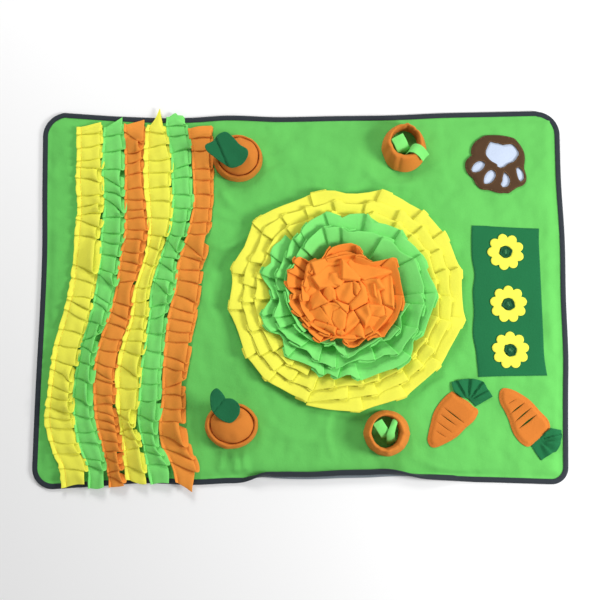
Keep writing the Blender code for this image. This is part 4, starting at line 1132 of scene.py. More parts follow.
# share from the mouth (0) to the outside (1), height as a share, how much the gathers show
OPEN_PROFILE = (
    (-0.05, 0.03, 0.1), (-0.04, 0.25, 0.3), (-0.03, 0.5, 0.5), (0.0, 0.74, 0.7), (0.06, 0.92, 0.8),
    (0.14, 1.0, 0.9), (0.25, 1.02, 0.9), (0.36, 0.96, 1.0), (0.46, 0.86, 1.0), (0.57, 0.73, 1.0),
    (0.68, 0.59, 1.0), (0.78, 0.45, 1.0), (0.88, 0.31, 0.9), (0.96, 0.18, 0.8), (1.0, 0.08, 0.6))
CLOSED_PROFILE = (
    (0.0, 0.05, 0.1), (0.0, 0.35, 0.1), (0.02, 0.65, 0.2), (0.1, 0.88, 0.3), (0.24, 0.98, 0.4),
    (0.4, 1.0, 0.5), (0.56, 0.95, 0.6), (0.7, 0.84, 0.7), (0.82, 0.67, 0.8), (0.91, 0.48, 0.8),
    (0.97, 0.28, 0.7), (1.0, 0.08, 0.5))
COLLAR_CLOTH = 2.2
GATHERS, GATHER_OUT, GATHER_UP = 11, 1.9, 1.8  # how many, and mm outwards and upwards
HEM = 1.6  # mm that the turned-over top stands out at its hem
FOLD_FACES = math.radians(225.0)  # the layers of a closed collar show at this side


def collar(name, x, y, outer, mouth, shift, height, seed):
    """A turned-over tube with gathers; its foot follows the fleece under it."""
    draw = np.random.RandomState(seed)
    turn = np.linspace(0.0, 2 * math.pi, 145)[:-1]
    gather = np.zeros_like(turn)
    for _ in range(GATHERS):
        middle = draw.uniform(0, 2 * math.pi)
        width, depth = draw.uniform(0.07, 0.2), draw.uniform(-1, 1)
        off = np.angle(np.exp(1j * (turn - middle)))
        gather += depth * np.exp(-(off / width) ** 2)
    rows = []
    closed = name.startswith("carrot")
    front = np.exp(-(np.angle(np.exp(1j * (turn - FOLD_FACES))) / 0.75) ** 2)
    profile = resample(np.array(CLOSED_PROFILE if closed else OPEN_PROFILE), 30)
    for k, (share, up, show) in enumerate(profile):
        slide = 0.10 * (k / len(profile)) * np.sin(2 * turn + seed)
        drift = np.interp(turn + slide, turn, gather, period=2 * math.pi) * show
        rx = mouth[0] + (outer[0] - mouth[0]) * share + GATHER_OUT * drift
        ry = mouth[1] + (outer[1] - mouth[1]) * share + GATHER_OUT * drift
        px = x + shift[0] * (1 - share) + rx * np.cos(turn)
        py = y + shift[1] * (1 - share) + ry * np.sin(turn)
        z = ON_PANEL + lift(px, py) + 1.0 + up * (height - 2.5) + GATHER_UP * drift * up
        if not closed:  # the hem of the turned-over top
            z = z + HEM * (smooth_step(0.90, 0.84, share) - smooth_step(0.30, 0.1, share)) * front
        rows.append(np.stack([px, py, z], axis=1))
    grid = np.array(rows)
    grid = grid + 0.9 * (hills(grid[..., 0] + grid[..., 2], grid[..., 1] - grid[..., 2], 8.0, seed)
                         - 0.5)[..., None] * np.array([0.6, 0.6, 1.0])
    cloth = thick_cloth(name + "_collar", grid, COLLAR_CLOTH, pocket_fleece, tube=True)
    stands_for(cloth, name)
    girth = math.pi * (outer[0] + mouth[0]) / 1000
    laid_out(grid, 0)[0]
    return cloth


collars = [collar(*row) for row in COLLARS]
print(len(collars), "collars,", sum(len(c.data.polygons) for c in collars), "faces")


# %% Ribbons in the open pockets
def ribbon(name, node, home, path, width, cup, taper, count=34):
    """A strip of fleece along a path of (x, y, z, turn) points: turn is its width's direction.

    home is the collar that it stands in; it is not used. cup is the rise of its edges and taper
    how much of its width is lost at the tip.
    """
    path = np.array(path, float)
    steps = np.linspace(0, len(path) - 1, count)
    smooth = np.stack([np.interp(steps, np.arange(len(path)), path[:, i]) for i in range(4)],
                      axis=1)
    for _ in range(5):  # rounds the corners of the path
        smooth[1:-1] = (smooth[:-2] + 2 * smooth[1:-1] + smooth[2:]) / 4
    across = np.linspace(-0.5, 0.5, 9)[:, None]
    turn = np.radians(smooth[:, 3])
    wide = width * (1 - taper * np.linspace(0, 1, count) ** 2)[None, :]
    forward = unit(np.gradient(smooth[:, :3], axis=0))
    side_way = np.stack([np.cos(turn), np.sin(turn), np.zeros(count)], axis=1)
    upward = unit(np.cross(forward, side_way))
    grid = (smooth[None, :, :3] + side_way[None] * (across * wide)[..., None]
            + upward[None] * (cup * (4 * across ** 2 - 0.3) * np.ones((1, count)))[..., None])
    grid[..., 2] += 0.8 * (hills(grid[..., 0], grid[..., 1], 6.0, 8) - 0.5)
    cloth = thick_cloth(name, grid, FLEECE_THICK, green_fleece)
    stands_for(cloth, node)
    return cloth


# name, node, width, cup, taper, then (across, down, height, turn) with places in pixels
RIBBON_PATHS = (
    ("ribbon_inner_back", "ribbon_back_inner", 24, 0.6, 0.0,
     ((404, 155, 5, 10), (404, 152, 22, 14), (402.7, 148.5, 33, 18), (400, 142, 37, 25),
      (396.9, 136.6, 36, 28))),
    ("ribbon_outer_back", "ribbon_back_outer", 19, 1.0, 0.1,
     ((407.5, 154, 5, 56), (408.5, 151, 30, 56), (412, 148.0, 41, 54), (417, 149.0, 43, 52),
      (421.5, 152.5, 38, 50), (425.5, 158, 22, 48))),
    ("ribbon_left_front", "ribbon_front_left", 18, 0.6, 0.0,
     ((386.5, 438, 5, 10), (386, 436, 24, 18), (384.5, 433, 34, 27), (380.5, 426.5, 38, 29),
      (377.2, 421.6, 36, 29))),
    ("ribbon_right_front", "ribbon_front_right", 15, 1.5, 0.25,
     ((391, 444, 5, 10), (391, 440, 27, 10), (390.5, 434, 37, 12), (393, 426, 39, 16),
      (395.5, 418.5, 33, 20))),
)
ribbons = []
for name, node, width, cup, taper, marks in RIBBON_PATHS:
    path = [(*from_photo(u, v, height), ON_PANEL + height, turn) for u, v, height, turn in marks]
    home = collars[0 if name.endswith("back") else 1].name
    ribbons.append(ribbon(name, node, home, path, width, cup, taper))
print(len(ribbons), "ribbons")


# %% [markdown]
# ## Carrot tops
# A carrot top is a padded dome of fleece that fills its pocket, with dimples where the filling is
# thin. A dome made from rings with a few seeded dents is enough; a cloth simulation would give the
# same round form, because little of it shows past the collar and the leaf.

# %% Padded carrot tops
# (share of the mouth's size, height in mm) from the foot to the crown
DOME = ((0.05, 0.0), (0.6, 0.3), (0.9, 2.0), (0.97, 7.0), (0.985, 13.0), (0.985, 19.5),
        (0.975, 23.0), (0.93, 26.0), (0.85, 29.0), (0.74, 31.8), (0.59, 34.7), (0.4, 37.0),
        (0.2, 38.4), (0.02, 38.8))
DENT_OUT, DENT_UP = 2.0, 2.2  # mm of the dents at the sides and on the crown
CROWN = 20.0  # the crown begins above this height


def ringed(name, rings, material):
    """A closed padded form from rings of points that all have as many points."""
    sides, last = len(rings[0]), len(rings) - 1
    faces = [(i * sides + j, i * sides + (j + 1) % sides, (i + 1) * sides + (j + 1) % sides,
              (i + 1) * sides + j) for i in range(last) for j in range(sides)]
    faces += [tuple(range(sides))[::-1], tuple(last * sides + j for j in range(sides))]
    return finish_mesh(name, np.concatenate(rings), faces, material)


def carrot_top(name, node, x, y, mouth, seed):
    """A dome with a few dents that fills its collar's mouth."""
    turn = np.linspace(0.0, 2 * math.pi, 73)[:-1]
    rings = []
    for share, up in DOME:
        px, py = x + share * mouth[0] * np.cos(turn), y + share * mouth[1] * np.sin(turn)
        dent = hills(px, py + 3 * up, 13.0, seed) - 0.5
        rings.append(np.stack([px + DENT_OUT * dent * np.cos(turn),
                               py + DENT_OUT * dent * np.sin(turn),
                               ON_PANEL + 0.6 + up + DENT_UP * dent * (up > CROWN)], axis=1))
    pad = ringed(name, rings, pocket_fleece)
    stands_for(pad, node)
    return pad


pads = [carrot_top("carrot_top_back", "carrot_pocket_back_plush", -122.5, 268.5, (39.2, 37.2), 5),
        carrot_top("carrot_top_front", "carrot_pocket_front_plush", -131, -244, (41.2, 35.2), 6)]
print(len(pads), "padded tops")

# %% [markdown]
# ## Felt shapes
# Felt is cut with scissors and doesn't fray, so a shape is its outline with a thickness and a
# slightly rounded edge. It is stitched on close to its edge, and the stitches pull a shallow groove
# into it. The outline is a table of points; a point marked "c" is a corner, and between the other
# points the outline runs smoothly. The inside is filled with a mesh of small triangles, so that the
# shape can follow the creases of the fleece.


# %% Smooth outlines
def smooth_loop(outline, gap=1.6):
    """A closed outline at small steps: round through plain points, sharp at marked corners."""
    points = np.array([p[:2] for p in outline], float)
    corner_here = [len(p) > 2 for p in outline]
    count, line = len(points), []
    for i in range(count):
        a, b = points[i], points[(i + 1) % count]
        before, after = points[i - 1], points[(i + 2) % count]
        length = np.linalg.norm(b - a)
        pull_a = np.zeros(2) if corner_here[i] else (b - before) / max(
            np.linalg.norm(b - a) + np.linalg.norm(a - before), 1e-6) * length
        pull_b = np.zeros(2) if corner_here[(i + 1) % count] else (after - a) / max(
            np.linalg.norm(after - b) + np.linalg.norm(b - a), 1e-6) * length
        if corner_here[i]:
            pull_a = (b - a) if corner_here[(i + 1) % count] else (b - a) * 1.5 - 0.5 * pull_b
        if corner_here[(i + 1) % count]:
            pull_b = (b - a) if corner_here[i] else (b - a) * 1.5 - 0.5 * pull_a
        steps = max(int(round(length / gap)), 2)
        s = np.linspace(0, 1, steps, endpoint=False)[:, None]
        line.append((2 * s ** 3 - 3 * s ** 2 + 1) * a + (s ** 3 - 2 * s ** 2 + s) * pull_a
                    + (3 * s ** 2 - 2 * s ** 3) * b + (s ** 3 - s ** 2) * pull_b)
    return np.concatenate(line)


def turned_in(loop, inset):
    """A loop moved to its left by inset: inwards when it runs anticlockwise."""
    ahead, behind = np.roll(loop, -1, axis=0) - loop, loop - np.roll(loop, 1, axis=0)
    left = [unit(np.stack([-way[:, 1], way[:, 0]], 1)) for way in (ahead, behind)]
    return loop + unit(left[0] + left[1]) * inset


def signed_area(loop):
    """The area inside a loop, below zero when it runs clockwise."""
    following = np.roll(loop, -1, axis=0)
    return float((loop[:, 0] * following[:, 1] - following[:, 0] * loop[:, 1]).sum()) / 2


def inside(points, loops):
    """Whether points lie inside the first loop and outside the others."""
    hit = np.zeros(len(points), bool)
    for loop in loops:
        a, b = loop, np.roll(loop, -1, axis=0)
        y = points[:, 1][:, None]
        crosses = (a[:, 1] > y) != (b[:, 1] > y)
        run = np.where(crosses, b[:, 1] - a[:, 1], 1.0)
        x = a[:, 0] + (y - a[:, 1]) * (b[:, 0] - a[:, 0]) / run
        hit ^= (crosses & (points[:, 0][:, None] < x)).sum(axis=1) % 2 == 1
    return hit


def from_edge(points, loops):
    """Distance from points to the nearest part of the loops."""
    nearest = np.full(len(points), 1e9)
    for loop in loops:
        for a, b in zip(loop, np.roll(loop, -1, axis=0)):
            along = np.clip(((points - a) @ (b - a)) / max(float((b - a) @ (b - a)), 1e-9), 0, 1)
            away = np.linalg.norm(points - a - along[:, None] * (b - a), axis=1)
            nearest = np.minimum(nearest, away)
    return nearest


print("a square with sides of 10 mm holds",
      signed_area(np.array([(0, 0), (10, 0), (10, 10), (0, 10)])), "square mm")

# %% Outline to felt
# lines of stitches, by thread
stitch_lines = {name: [] for name in ("tan", "leaf", "dark_green", "yellow", "orange", "tape",
                                      "ruffle_yellow", "ruffle_green", "ruffle_orange", "pale")}
CUT_AREA = 60.0  # a hole smaller than this, in square mm, is a cut
RIM_HEIGHTS = (0.62, 0.3)  # of the two rings round a cut edge, as shares of the thickness


def felt(name, outline, bottom, thickness, material, holes=(), grid=2.4, groove=2.4, dip=0.45,
         shape=None, thread=None):
    """A felt piece: rounded rim rings, and a fine inside with a stitched groove.

    bottom is its height over the fleece; shape may change the finished points; thread names the
    list that its lines of stitches go to.
    """
    loops = [smooth_loop(outline)] + [smooth_loop(hole) for hole in holes]
    loops = [loop if (signed_area(loop) > 0) == (k == 0) else loop[::-1]
             for k, loop in enumerate(loops)]
    inner = [turned_in(loop, 0.4 * thickness) for loop in loops]
    low, high = loops[0].min(axis=0), loops[0].max(axis=0)
    columns = np.arange(low[0] + grid / 2, high[0], grid)
    rows = np.arange(low[1] + grid / 2, high[1], grid * 0.87)
    net = np.array([(x + (grid / 2 if j % 2 else 0.0), y)
                    for j, y in enumerate(rows) for x in columns])
    net = net[inside(net, inner)]
    net = net[from_edge(net, inner) > 0.55 * grid]
    plan = np.concatenate(inner + [net])
    edges, start = [], 0
    for loop in inner:
        edges += [(start + i, start + (i + 1) % len(loop)) for i in range(len(loop))]
        start += len(loop)
    filled = delaunay_2d_cdt([Vector(p) for p in plan], edges, [], 0, 1e-5)
    flat = np.array([tuple(p) for p in filled[0]])
    triangles = np.array(filled[2])
    middles = flat[triangles].mean(axis=1)
    triangles = triangles[inside(middles, inner)]
    size, rim = len(flat), sum(len(loop) for loop in loops)
    away = from_edge(flat, loops)
    top = thickness - dip * np.exp(-((away - groove) / 0.9) ** 2) - 0.12 * (away < 1.2)
    ground_here = ON_PANEL + bottom + lift(flat[:, 0], flat[:, 1])
    outer = np.concatenate(loops)
    outer_ground = ON_PANEL + bottom + lift(outer[:, 0], outer[:, 1])
    points = np.concatenate([np.column_stack([flat, ground_here + top]),
                             np.column_stack([flat, ground_here])]
                            + [np.column_stack([outer, outer_ground + share * thickness])
                               for share in RIM_HEIGHTS])
    faces = [tuple(int(i) for i in t) for t in triangles]
    faces += [tuple(int(size + i) for i in t[::-1]) for t in triangles]
    start = 0
    for loop in loops:
        for i in range(len(loop)):
            a, b = start + i, start + (i + 1) % len(loop)
            faces += [(a, 2 * size + a, 2 * size + b, b),
                      (2 * size + a, 2 * size + rim + a, 2 * size + rim + b, 2 * size + b),
                      (2 * size + rim + a, size + a, size + b, 2 * size + rim + b)]
        start += len(loop)
    lines = [turned_in(loop, groove) for loop in loops]
    if len(loops) > 1 and signed_area(loops[1]) ** 2 < CUT_AREA ** 2:
        lines = lines[:1]  # plain cuts have no stitches round them
    lines = [np.column_stack([line, ON_PANEL + bottom + thickness - dip + 0.15 + lift(*line.T)])
             for line in lines]
    if shape is not None:
        points, lines = shape(points), [shape(line) for line in lines]
    if thread is not None:
        stitch_lines[thread] += [np.concatenate([line, line[:1]]) for line in lines]
    piece = finish_mesh(name, points, faces, material, smooth=50.0)
    area = (signed_area(loops[0]) + sum(signed_area(loop) for loop in loops[1:])) / 1e6
    wide = (high - low) / 1000
    round(max(area, 0.31 * wide[0] * wide[1]), 5)
    return piece


print("threads:", *stitch_lines)

# %% [markdown]
# ## The cloth of the flower's heart
# The two helpers that say what lies inside an outline, and how far from it, also place the folds of
# the heart: a square grid is pulled into its outline, and at each point the highest fold wins.

# %% Folds of the heart
HEART_BASE = 36.0
FOLD_ROUND = 3.4  # mm: radius of a folded edge
FOLD_WALL = 3.0  # steepness of the wall under it
FOLD_TILT, FOLD_PLEAT = 0.3, 1.9  # most slope of a face, and mm of the soft pleat across it


def heart_grid(count=176):
    """A square grid pulled into the heart's outline, with the height of its folds."""
    border = np.stack(in_part(HEART_OUTLINE, HEART_BASE, **ROSE), axis=1)
    middle = border.mean(axis=0)
    away = border - middle
    angle, reach = np.arctan2(away[:, 1], away[:, 0]), np.hypot(*away.T)
    order = np.argsort(angle)
    s, t = np.meshgrid(np.linspace(-1, 1, count), np.linspace(-1, 1, count))
    dx, dy = s * np.sqrt(1 - t ** 2 / 2), t * np.sqrt(1 - s ** 2 / 2)
    out = np.interp(np.arctan2(dy, dx), angle[order], reach[order], period=2 * math.pi)
    x, y = middle[0] + dx * out, middle[1] + dy * out
    plan = np.stack([x.ravel(), y.ravel()], axis=1)
    high = HEART_BASE - 1.5 * np.hypot(dx, dy).ravel() ** 6
    draw = np.random.RandomState(9)
    tilts = draw.uniform(-FOLD_TILT, FOLD_TILT, (len(HEART_FACES), 2))
    for (level, marks), tilt in zip(HEART_FACES, tilts):
        corners = np.stack(in_part(marks, level, **ROSE), axis=1)
        centre = corners.mean(axis=0)
        away = from_edge(plan, [corners])
        within = inside(plan, [corners])
        turn_in = np.clip(1 - away / FOLD_ROUND, 0.0, 1.0)
        rounded = FOLD_ROUND * (1 - np.sqrt(1 - turn_in ** 2))
        pleat = FOLD_PLEAT * np.sin((plan - centre) @ draw.uniform(-0.22, 0.22, 2)
                                    + draw.uniform(0, 6))
        slope = level + (plan - centre) @ tilt
        face = slope - rounded + pleat * (1 - np.exp(-away / 4.0))
        wall = slope - FOLD_ROUND - FOLD_WALL * away
        high = np.maximum(high, np.where(within, face, wall))
    high = high + 1.6 * (hills(plan[:, 0], plan[:, 1], 12.0, 55) - 0.5)
    return np.stack([x, y, high.reshape(x.shape)], axis=-1)


heart = thick_cloth("flower_heart_folds", heart_grid(), FLEECE_THICK, flower_fleece)
stands_for(heart, "flower_bud")
print("heart:", len(heart.data.polygons), "faces")

# %% [markdown]
# ## Paw, flowers and carrots
# The paw is brown felt with windows cut for the pads, over white felt. The flowers are felt rings
# with nine petals, and their hearts are small stitched buttons. The carrots have cuts that the
# fleece shows through, and dark green leaves. The cuts gape a little, as cuts in felt do.

# %% Tables of the felt shapes
FELT_HEIGHT = 6.0  # of the felt, where it was read in the photograph


def placed(marks, shift, zoom):
    """Marks of an enlarged part as places in mm; a mark's "c" stays."""
    x, y = in_part(marks, FELT_HEIGHT, shift, zoom)
    return [(float(a), float(b), *m[2:]) for a, b, m in zip(x, y, marks)]


# shift and zoom of each enlarged part; the outlines are in its pixels
PAW_PART, PANEL_PART, CARROT_PART = ((460, 130), 22.4), ((465, 220), 9.8), ((420, 370), 10.453)
PAW = placed((
    (545, 135), (700, 125), (860, 128), (1000, 145), (1200, 195), (1290, 280), (1390, 420),
    (1435, 540), (1445, 680), (1430, 850), (1462, 960), (1480, 1060), (1465, 1170), (1400, 1250),
    (1270, 1300), (1180, 1360), (1080, 1425), (980, 1420), (880, 1425), (770, 1395), (650, 1355),
    (560, 1350), (470, 1335), (400, 1280), (340, 1215), (295, 1120), (270, 1080), (180, 1000),
    (125, 900), (110, 800), (130, 700), (190, 630), (260, 575, "c"), (240, 510), (260, 390),
    (330, 280), (430, 200)), *PAW_PART)
PAW_WINDOWS = [placed(marks, *PAW_PART) for marks in (
    ((680, 275), (760, 300), (880, 320), (945, 352, "c"), (1050, 338), (1170, 340), (1250, 420),
     (1310, 530), (1270, 630), (1190, 720), (1120, 745), (1060, 775), (980, 835), (900, 855),
     (825, 825, "c"), (825, 785), (700, 710), (630, 640), (580, 560), (575, 480), (620, 370)),
    ((245, 900, "c"), (290, 800), (350, 740), (430, 710), (510, 720), (550, 770), (530, 840),
     (460, 920), (380, 955), (290, 955)),
    ((525, 1180), (530, 1090), (570, 1000), (640, 930), (710, 912), (770, 950), (790, 1030),
     (760, 1110), (690, 1190), (600, 1220), (545, 1215)),
    ((985, 958, "c"), (1050, 1010), (1100, 1090), (1108, 1150), (1090, 1230), (1030, 1288),
     (950, 1285), (905, 1220, "c"), (940, 1150), (950, 1060)),
    ((1255, 880), (1300, 850), (1360, 890), (1405, 960), (1425, 1040), (1410, 1120),
     (1350, 1165, "c"), (1310, 1120), (1270, 1000)))]
FELT_PANEL = placed((
    (65, 55, "c"), (210, 58), (260, 63), (500, 76), (725, 85, "c"), (722, 200), (730, 400),
    (740, 600), (752, 900), (765, 1150), (775, 1350), (805, 1525, "c"), (600, 1528), (370, 1531),
    (130, 1540, "c"), (115, 1380), (105, 1280), (75, 1120), (85, 900), (73, 700), (90, 540),
    (65, 380), (60, 200)), *PANEL_PART)
FLOWERS = ((391, 85, 0.02), (394, -16, 0.52), (396, -104, 0.53))  # place in mm, turn
PETALS, PETAL_RADIUS, PETAL_DEPTH, PETAL_HOLE = 9, 32.0, 3.6, 12.0
CARROT_BACK = placed((
    (335, 225), (375, 250), (440, 295), (500, 330), (560, 385), (600, 410), (605, 450), (560, 530),
    (470, 610), (380, 700), (250, 775), (160, 810), (110, 800), (78, 740), (85, 670), (110, 560),
    (140, 450), (200, 350), (270, 270), (320, 232)), *CARROT_PART)
CARROT_FRONT = placed((
    (870, 190), (960, 205), (1050, 250), (1150, 320), (1250, 430), (1335, 520), (1357, 590),
    (1340, 640), (1260, 710), (1210, 750), (1140, 800), (1100, 795), (1030, 740), (970, 650),
    (930, 530), (890, 440), (840, 350), (825, 280), (835, 220)), *CARROT_PART)
# from (across, down) to (across, down), and how wide the cut gapes in mm
CARROT_BACK_CUTS = ((245, 392, 455, 555, 2.0), (210, 462, 375, 582, 1.6),
                    (170, 538, 330, 655, 0.9), (165, 638, 265, 702, 0.8))
CARROT_FRONT_CUTS = ((920, 352, 1000, 305, 0.8), (940, 458, 1090, 340, 2.6),
                     (985, 545, 1160, 392, 2.6), (1030, 612, 1215, 465, 3.6))
# outline, then the point where the folds meet and where each fold ends
BACK_LEAVES = (((325, 128, "c"), (430, 100), (540, 92), (610, 105), (658, 122, "c"), (705, 200),
                (757, 278, "c"), (670, 330), (580, 382, "c"), (525, 325), (490, 295), (430, 285),
                (390, 255), (352, 222), (335, 175)), (505, 330),
               ((375, 120), (520, 90), (655, 122), (700, 210)))
FRONT_LEAVES = (((1360, 606, "c"), (1480, 628, "c"), (1475, 740), (1425, 850), (1385, 865),
                 (1265, 945, "c"), (1210, 870), (1163, 790, "c"), (1250, 700)), (1235, 735),
                ((1478, 660), (1465, 745), (1385, 862)))
FELT_THICK, LINING, GAP = 2.0, 1.2, 0.3  # thickness of felt and lining, and air between layers
FAN_RISE = 4.2  # mm by which a fold in the carrots' leaves stands up
print(len(PAW_WINDOWS), "windows in the paw,", len(FLOWERS), "flowers with", PETALS, "petals,",
      len(CARROT_BACK_CUTS) + len(CARROT_FRONT_CUTS), "cuts in the carrots")


# %% Outlines by rule
def circle(x, y, radius, points=12):
    """Points of a round hole."""
    angle = np.linspace(0.0, 2 * math.pi, points + 1)[:-1]
    return [tuple(p) for p in np.stack([x + radius * np.cos(angle), y + radius * np.sin(angle)], 1)]


def cut_hole(u0, v0, u1, v1, width):
    """A cut that gapes most at its middle."""
    (x0, y0), (x1, y1) = placed(((u0, v0), (u1, v1)), *CARROT_PART)
    length = math.hypot(x1 - x0, y1 - y0)
    nx, ny = -(y1 - y0) / length * width / 2, (x1 - x0) / length * width / 2
    mx, my = (x0 + x1) / 2, (y0 + y1) / 2
    return [(x0, y0, "c"), (mx - nx, my - ny), (x1, y1, "c"), (mx + nx, my + ny)]


def bulge(outline, height, reach):
    """A shape that lifts a piece from its sewn edge, because something lies under it."""
    loops = [smooth_loop(outline)]

    def shape(points):
        away = from_edge(points[:, :2], loops)
        return points + np.outer(height * smooth_step(1.5, reach, away), [0, 0, 1])

    return shape


def fan(tip, ends):
    """A shape with folds that run out from one point: each rises slowly and drops steeply."""
    marks = np.array(placed((tip, *ends), *CARROT_PART))
    turns_to = np.sort(np.arctan2(*(marks[1:] - marks[0]).T[::-1]))

    def shape(points):
        dx, dy = points[:, 0] - marks[0, 0], points[:, 1] - marks[0, 1]
        angle = np.arctan2(dy, dx)
        edges = np.concatenate([[turns_to[0] - 0.6], turns_to, [turns_to[-1] + 0.6]])
        k = np.clip(np.searchsorted(edges, angle) - 1, 0, len(edges) - 2)
        share = np.clip((angle - edges[k]) / (edges[k + 1] - edges[k]), 0, 1)
        rise = FAN_RISE * smooth_step(0.0, 0.75, share) * smooth_step(1.0, 0.86, share)
        return points + np.outer(rise * smooth_step(2.0, 20.0, np.hypot(dx, dy)), [0, 0, 1])

    return shape


def petals(x, y, turn):
    """A flower's outline: round petals that meet in sharp notches."""
    loop = []
    for k in range(PETALS):
        for share in (0.0, 0.22, 0.5, 0.78):
            angle = 2 * math.pi * (k + share) / PETALS + turn
            radius = PETAL_RADIUS + PETAL_DEPTH * (2 * math.sin(math.pi * share) ** 0.8 - 1)
            spot = (x + radius * math.cos(angle), y + radius * math.sin(angle))
            loop.append((*spot, "c") if share == 0.0 else spot)
    return loop


def lining(outline, inset):
    """An outline that is drawn in towards its middle."""
    points = np.array([p[:2] for p in outline], float)
    middle = points.mean(axis=0)
    away = np.linalg.norm(points - middle, axis=1, keepdims=True)
    return [tuple(p) for p in middle + (points - middle) * (1 - inset / away)]


print("a flower's outline has", len(petals(*FLOWERS[0])), "points")

# %% Felt pieces
on_lining, on_panel = LINING + GAP, PANEL + GAP
paw_lining = felt("paw_lining", lining(PAW, 4.0), 0.0, LINING, white_felt)
paw = felt("paw_windows", PAW, on_lining, FELT_THICK, brown_felt, holes=PAW_WINDOWS, groove=1.9,
           shape=bulge(PAW, 1.5, 7.0), thread="tan")
panel = felt("flower_panel", FELT_PANEL, 0.0, PANEL, panel_felt, grid=4.0, dip=0.3,
             thread="dark_green")
blooms = [felt(f"felt_flower_{n}", petals(x, y, turn), on_panel, FELT_THICK, yellow_felt,
               holes=[circle(x, y, PETAL_HOLE)], thread="yellow")
          for n, (x, y, turn) in enumerate(FLOWERS, start=1)]
carrots = [felt(name, outline, 0.0, FELT_THICK, carrot_felt,
                holes=[cut_hole(*row) for row in cuts], shape=bulge(outline, 3.2, 10.0),
                thread="orange")
           for name, outline, cuts in (("felt_carrot_back", CARROT_BACK, CARROT_BACK_CUTS),
                                       ("felt_carrot_front", CARROT_FRONT, CARROT_FRONT_CUTS))]
tops = [felt(name, placed(marks, *CARROT_PART), 0.0, FELT_THICK, panel_felt, shape=fan(tip, ends),
             thread="dark_green")
        for name, (marks, tip, ends) in (("felt_leaves_back", BACK_LEAVES),
                                         ("felt_leaves_front", FRONT_LEAVES))]
shapes = (paw_lining, paw, panel, *carrots, *tops, *blooms)
for piece, node in zip(shapes, ("paw_white", "paw_brown", "felt_panel", "carrot_back",
                                "carrot_front", "carrot_back_leaves", "carrot_front_leaves",
                                "flower_1", "flower_2", "flower_3")):
    stands_for(piece, node)
print("felt shapes:", sum(len(piece.data.polygons) for piece in shapes), "faces")


# %% Hearts of the felt flowers
HEART_SIDES = ((6, 0.3), (5, 0.9), (6, 1.3))  # corners and turn of each button
BUTTON_RADIUS, BUTTON_STITCHES = 11.6, 3.3  # mm; the second is the height of the stitches
HEART_ROWS = ((0.02, 2.6), (0.18, 2.8), (0.34, 3.1), (0.45, 2.9), (0.55, 1.7), (0.66, 1.5),
              (0.76, 2.9), (0.88, 3.8), (0.97, 2.8), (1.0, 1.5), (0.98, 0.2))  # radius, height


def felt_heart(number, x, y, sides, turn):
    """A stitched button: a flat middle, a groove round it and a thick rolled rim."""
    angle = np.linspace(0.0, 2 * math.pi, 49)[:-1]
    wobble = 0.8 * np.sin(2 * angle + number) + 0.7 * np.sin(3 * angle + 2 * number)
    edge = BUTTON_RADIUS + 1.1 * np.cos(sides * (angle - turn)) + wobble
    rings = []
    for share, up in HEART_ROWS:
        px, py = x + share * edge * np.cos(angle), y + share * edge * np.sin(angle)
        ground_here = ON_PANEL + on_panel + lift(px, py)
        rings.append(np.stack([px, py, ground_here + up], axis=1))
    button = ringed(f"felt_heart_{number}", rings, heart_felt)
    stands_for(button, f"flower_heart_{number}")
    across, way = np.linspace(-3.0, 3.0, 3), turn + 1.2
    for k in range(3):  # three short rows of stitches, side by side
        px = x + across * math.cos(way) - (k - 1) * 1.1 * math.sin(way)
        py = y + across * math.sin(way) + (k - 1) * 1.1 * math.cos(way)
        high = ON_PANEL + on_panel + lift(px, py) + BUTTON_STITCHES
        stitch_lines["pale"].append(np.column_stack([px, py, high]))
    return button


hearts = [felt_heart(n + 1, x, y, *HEART_SIDES[n]) for n, (x, y, _) in enumerate(FLOWERS)]
print(len(hearts), "flower hearts")

# %% [markdown]
# ## Leaves of the carrot pockets
# Each leaf is two layers of felt sewn together, with a raised lobe where a second layer lies on the
# first. It leans on the carrot top, held by a few stitches at its middle.

# %% Leaves
LEAF_BACK = (
    (-184, 284), (-170, 292), (-159, 304), (-145, 309), (-132, 300), (-118, 285), (-104, 276),
    (-103, 264), (-114, 248), (-134, 241), (-150, 249), (-168, 262), (-182, 274))
LEAF_FRONT = ((-168, -184), (-158, -176), (-147, -186), (-142, -196, "c"), (-128, -197),
              (-116, -209), (-117, -226), (-132, -241), (-150, -236), (-166, -220), (-170, -200))
LEAF_THICK, LEAF_LEAN = 3.0, math.radians(12.0)
LOBE, GROOVE = 2.8, 1.4  # mm: rise of the raised lobe, and depth of the fold beside it
# name, node, outline, height of the middle, fold line (two points), side of the raised lobe
LEAVES = (("leaf_on_back", "leaf_back", LEAF_BACK, 49.7, ((-164, 297), (-141, 244)), 1),
          ("leaf_on_front", "leaf_front", LEAF_FRONT, 46.8, ((-143, -193), (-166, -222)), -1))


